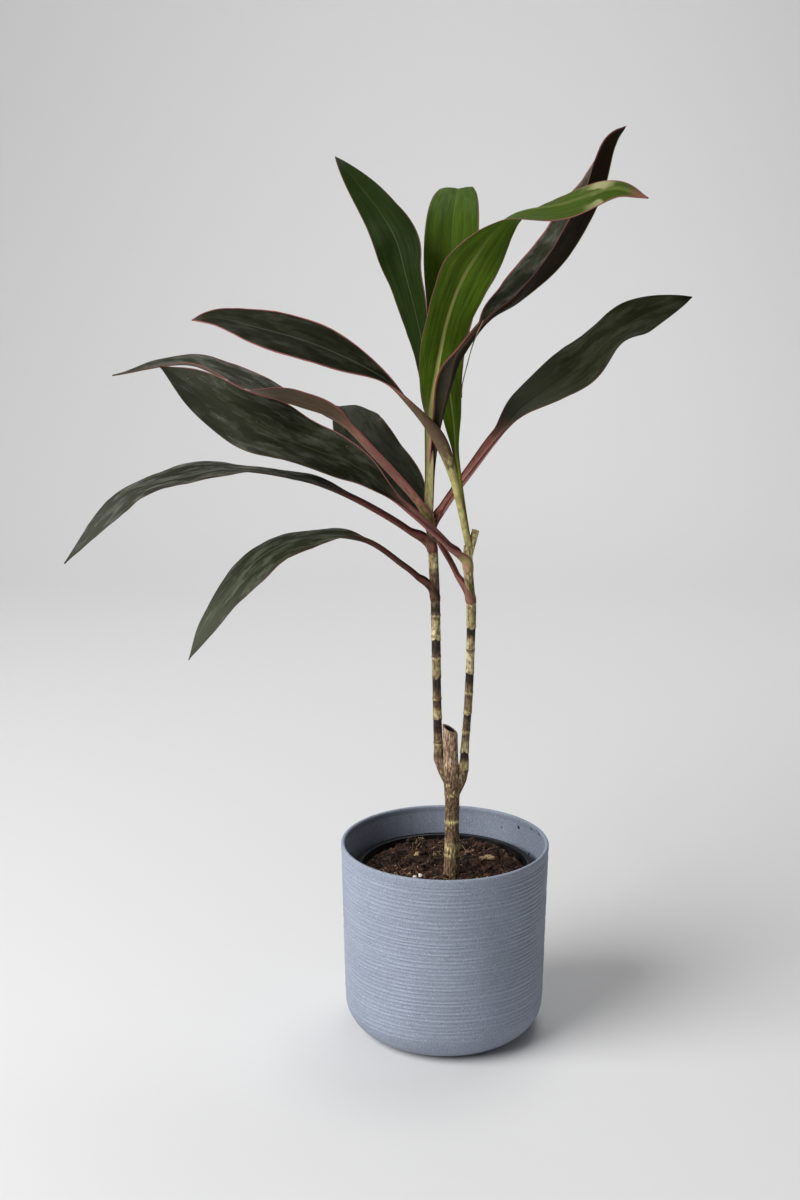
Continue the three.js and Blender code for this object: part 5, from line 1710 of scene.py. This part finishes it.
def stalk_colour(tree, finish, at):
    """The stalk: its foot's colour, then its own, mottled and streaked."""
    cloud = noise_value(tree, at.flat(tree, 0.45, 0.16), 1.0, 3)
    reach = sums(tree, "ADD", at.share, between(tree, cloud, 0.3, 0.7, -0.09, 0.09))
    end = finish.get("foot_end", FOOT_END)
    past_foot = between(tree, reach, end - 0.08, end + 0.08)
    colour = blended(tree, past_foot, finish["foot"], finish["stalk"])
    mottle = blended(tree, between(tree, cloud, 0.35, 0.65), (0.60, 0.56, 0.48), (1.3, 1.3, 1.25))
    colour = blended(tree, between(tree, at.share, -0.9, -0.45, 0.9, 0.25), colour, mottle, "MULTIPLY")
    return blended(tree, product(tree, at.narrow, 0.4), colour, (0.55, 0.53, 0.50), "MULTIPLY")


def margin_strength(tree, finish, at):
    """How strong the pink margin is at a point, by its side and its share of the length."""
    rim = finish.get("rim", MARGIN_WIDTH)
    near_edge = between(tree, at.edge, rim * 0.55, rim * 1.15, 1.0, 0.0)
    sides = []
    for foot, middle, tip in (finish["left"], finish["right"]):
        low = between(tree, at.share, -0.1, 0.5, foot, middle)
        sides.append(mixed(tree, between(tree, at.share, 0.5, 0.95), low, tip))
    on_right = sums(tree, "GREATER_THAN", at.side, 0.0)
    return product(tree, near_edge, mixed(tree, on_right, *sides))


def leaf_material(name, finish):
    """A leaf's finish: its upper face, underside, midrib, tip, stalk and margins."""
    material, tree, shader = new_material(name)
    at = LeafPlaces(tree)
    colour, painted_sheen = upper_face(tree, finish, at)
    colour = blended(tree, at.under, colour, underside(tree, finish, at))
    width = finish.get("rib_width", RIB_WIDTH)
    rib = between(tree, sums(tree, "ABSOLUTE", at.across), width * 0.4, width * 1.2, 1.0, 0.0)
    rib = product(tree, rib, between(tree, at.share, *finish.get("rib_end", RIB_END), 0.9, 0.1))
    colour = blended(tree, rib, colour, finish["rib"])
    colour = blended(tree, between(tree, at.share, *TIP_ZONE), colour, finish["tip"])
    on_stalk = between(tree, at.share, *BLADE_FOOT, 1.0, 0.0)
    colour = blended(tree, on_stalk, colour, stalk_colour(tree, finish, at))
    colour = blended(tree, margin_strength(tree, finish, at), colour, finish["margin"])
    rough = between(tree, painted_sheen, 0.0, 1.0, 0.60, 0.50)
    relief = sums(tree, "ADD", at.narrow, product(tree, rib, -1.2))
    finish_material(tree, shader, colour, rough, specular=0.07, height=relief, depth=0.12)
    return material


class CORDYLINE_OT_leaves(bpy.types.Operator):
    """Models the twelve leaves, each with its sheath or stalk, and one loose fibre"""

    bl_idname = "cordyline.leaves"
    bl_label = "Leaves"

    def execute(self, context):
        for name, leaf in LEAVES.items():
            obj = leaf_mesh(name, leaf)
            title = name.replace("_", " ").capitalize()
            slot = "leaf_green" if name in GREEN_LEAVES else "leaf_dark"
            dress(obj, leaf_material(title, FINISHES[name]), slot, name)
        place = functools.partial(bent_tube, LOOSE_FIBRE, LOOSE_FIBRE_RADIUS, 0.3)
        fibre = rolled_tube("loose_fibre", 6, 40, place)
        smooth(fibre, degrees=60)
        dress(fibre, tone_material("Loose fibre"), "leaf_dark")
        return {"FINISHED"}


# Stage

# The floor runs from its front edge to where it turns up in an arc to a wall. In metres.
SWEEP_WIDTH = 12.0
SWEEP_FRONT, SWEEP_TURN = -2.6, 1.5
SWEEP_BEND = 1.2
SWEEP_LENGTH = 9.0
SKY_COLOUR = (0.97, 0.98, 1, 1)

# The camera is that of the photograph: 50 mm on a 36 mm long side, looking down by 13.09 degrees.
CAMERA_PLACE = (-0.03236, -1.1338, 0.5835)
CAMERA_PITCH = 13.09
CAMERA_LENS = 50.0
CAMERA_SENSOR = 36.0


class StageLook(bpy.types.PropertyGroup):
    """The floor and the lights."""

    key_power: bpy.props.FloatProperty(
        name="Key light", description="Its power", unit="POWER", default=73.0
    )
    wall_power: bpy.props.FloatProperty(
        name="Wall light", description="Its power", unit="POWER", default=4.0
    )
    top_power: bpy.props.FloatProperty(
        name="Top light", description="Its power", unit="POWER", default=13.5
    )
    sky: bpy.props.FloatProperty(name="Sky", description="Strength of the even light", default=0.16)
    floor: bpy.props.FloatVectorProperty(
        name="Floor", description="Colour of the floor", subtype="COLOR", default=(0.722, 0.72, 0.7205)
    )


def area_light(name, place, target, size, power, spread=180):
    """A round light of a size in metres and a power in watts, turned towards a target."""
    clear_selection()
    bpy.ops.object.light_add(type="AREA", location=place)
    light = named(name)
    light.data.shape = "DISK"
    light.data.size = size
    light.data.energy = power
    light.data.spread = math.radians(spread)
    aim = Vector(target) - Vector(place)
    light.rotation_euler = aim.to_track_quat("-Z", "Y").to_euler()


def sweep_point(x, along):
    """A point of the sweep, by its distance along from the floor's front edge."""
    flat = SWEEP_TURN - SWEEP_FRONT
    curved = SWEEP_BEND * math.pi / 2
    if along < flat:
        return x, SWEEP_FRONT + along, 0
    if along < flat + curved:
        turn = (along - flat) / SWEEP_BEND
        return x, SWEEP_TURN + SWEEP_BEND * math.sin(turn), SWEEP_BEND * (1 - math.cos(turn))
    return x, SWEEP_TURN + SWEEP_BEND, SWEEP_BEND + along - flat - curved


class CORDYLINE_OT_stage(bpy.types.Operator):
    """Adds the floor with its swept backdrop, the lights and the camera"""

    bl_idname = "cordyline.stage"
    bl_label = "Stage"

    def execute(self, context):
        look = context.scene.cordyline_stage
        obj = grid("studio_sweep", 2, 90)
        points = [sweep_point(x * SWEEP_WIDTH / 2, y * SWEEP_LENGTH) for x, y, _ in coordinates(obj)]
        move_points(obj, np.array(points) / MM)
        smooth(obj, degrees=40)
        material, tree, shader = new_material("Pale sweep")
        finish_material(tree, shader, tuple(look.floor), 0.9, specular=0.2)
        obj.data.materials.append(material)
        area_light("key_light", (-1.65, -0.95, 1.5), (0, 0, 0.25), size=1.9, power=look.key_power)
        area_light("top_light", (0.35, 0.8, 2.2), (0.3, 0.7, 0), size=1.2, power=look.top_power)
        area_light(
            "wall_light", (0.3, 1.1, 2.3), (0.3, 2.2, 0.1), size=0.8, power=look.wall_power, spread=100
        )
        world = bpy.data.worlds.new("Soft light")
        context.scene.world = world
        world.use_nodes = True
        background = world.node_tree.nodes["Background"]
        background.inputs["Color"].default_value = SKY_COLOUR
        background.inputs["Strength"].default_value = look.sky
        context.scene.view_settings.view_transform = "Standard"
        clear_selection()
        pitch = math.radians(90 - CAMERA_PITCH)
        bpy.ops.object.camera_add(location=CAMERA_PLACE, rotation=(pitch, 0, 0))
        camera = named("photo_camera")
        camera.data.lens = CAMERA_LENS
        camera.data.sensor_width = CAMERA_SENSOR
        context.scene.camera = camera
        return {"FINISHED"}


# The panel and the run

class CORDYLINE_PT_panel(bpy.types.Panel):
    """Lists the steps that make the plant"""

    bl_label = "Potted cordyline"
    bl_idname = "CORDYLINE_PT_panel"
    bl_space_type = "VIEW_3D"
    bl_region_type = "UI"
    bl_category = "Cordyline"

    def draw(self, context):
        for step in STEPS:
            self.layout.operator(step.bl_idname)
        for group in SETTINGS:
            settings = getattr(context.scene, group)
            self.layout.label(text=settings.__doc__)
            for key in settings.__annotations__:
                self.layout.prop(settings, key)


STEPS = (
    CORDYLINE_OT_stage,
    CORDYLINE_OT_cover_pot,
    CORDYLINE_OT_grow_pot,
    CORDYLINE_OT_soil,
    CORDYLINE_OT_soil_bits,
    CORDYLINE_OT_stem,
    CORDYLINE_OT_leaves,
)
SETTINGS = {
    "cordyline_pot": CoverPotSizes,
    "cordyline_grow": GrowPotSizes,
    "cordyline_soil": SoilLook,
    "cordyline_stem": StemLook,
    "cordyline_leaf": LeafLook,
    "cordyline_stage": StageLook,
}


def register():
    for group in SETTINGS.values():
        bpy.utils.register_class(group)
    for name, group in SETTINGS.items():
        setattr(bpy.types.Scene, name, bpy.props.PointerProperty(type=group))
    for step in (*STEPS, CORDYLINE_PT_panel):
        bpy.utils.register_class(step)


def unregister():
    for step in reversed((*STEPS, CORDYLINE_PT_panel)):
        bpy.utils.unregister_class(step)
    for name in SETTINGS:
        delattr(bpy.types.Scene, name)
    for group in SETTINGS.values():
        bpy.utils.unregister_class(group)


def main():
    register()
    bpy.ops.cordyline.stage()
    bpy.ops.cordyline.cover_pot()
    bpy.ops.cordyline.grow_pot()
    bpy.ops.cordyline.soil()
    bpy.ops.cordyline.soil_bits()
    bpy.ops.cordyline.stem()
    bpy.ops.cordyline.leaves()


if __name__ == "__main__":
    main()
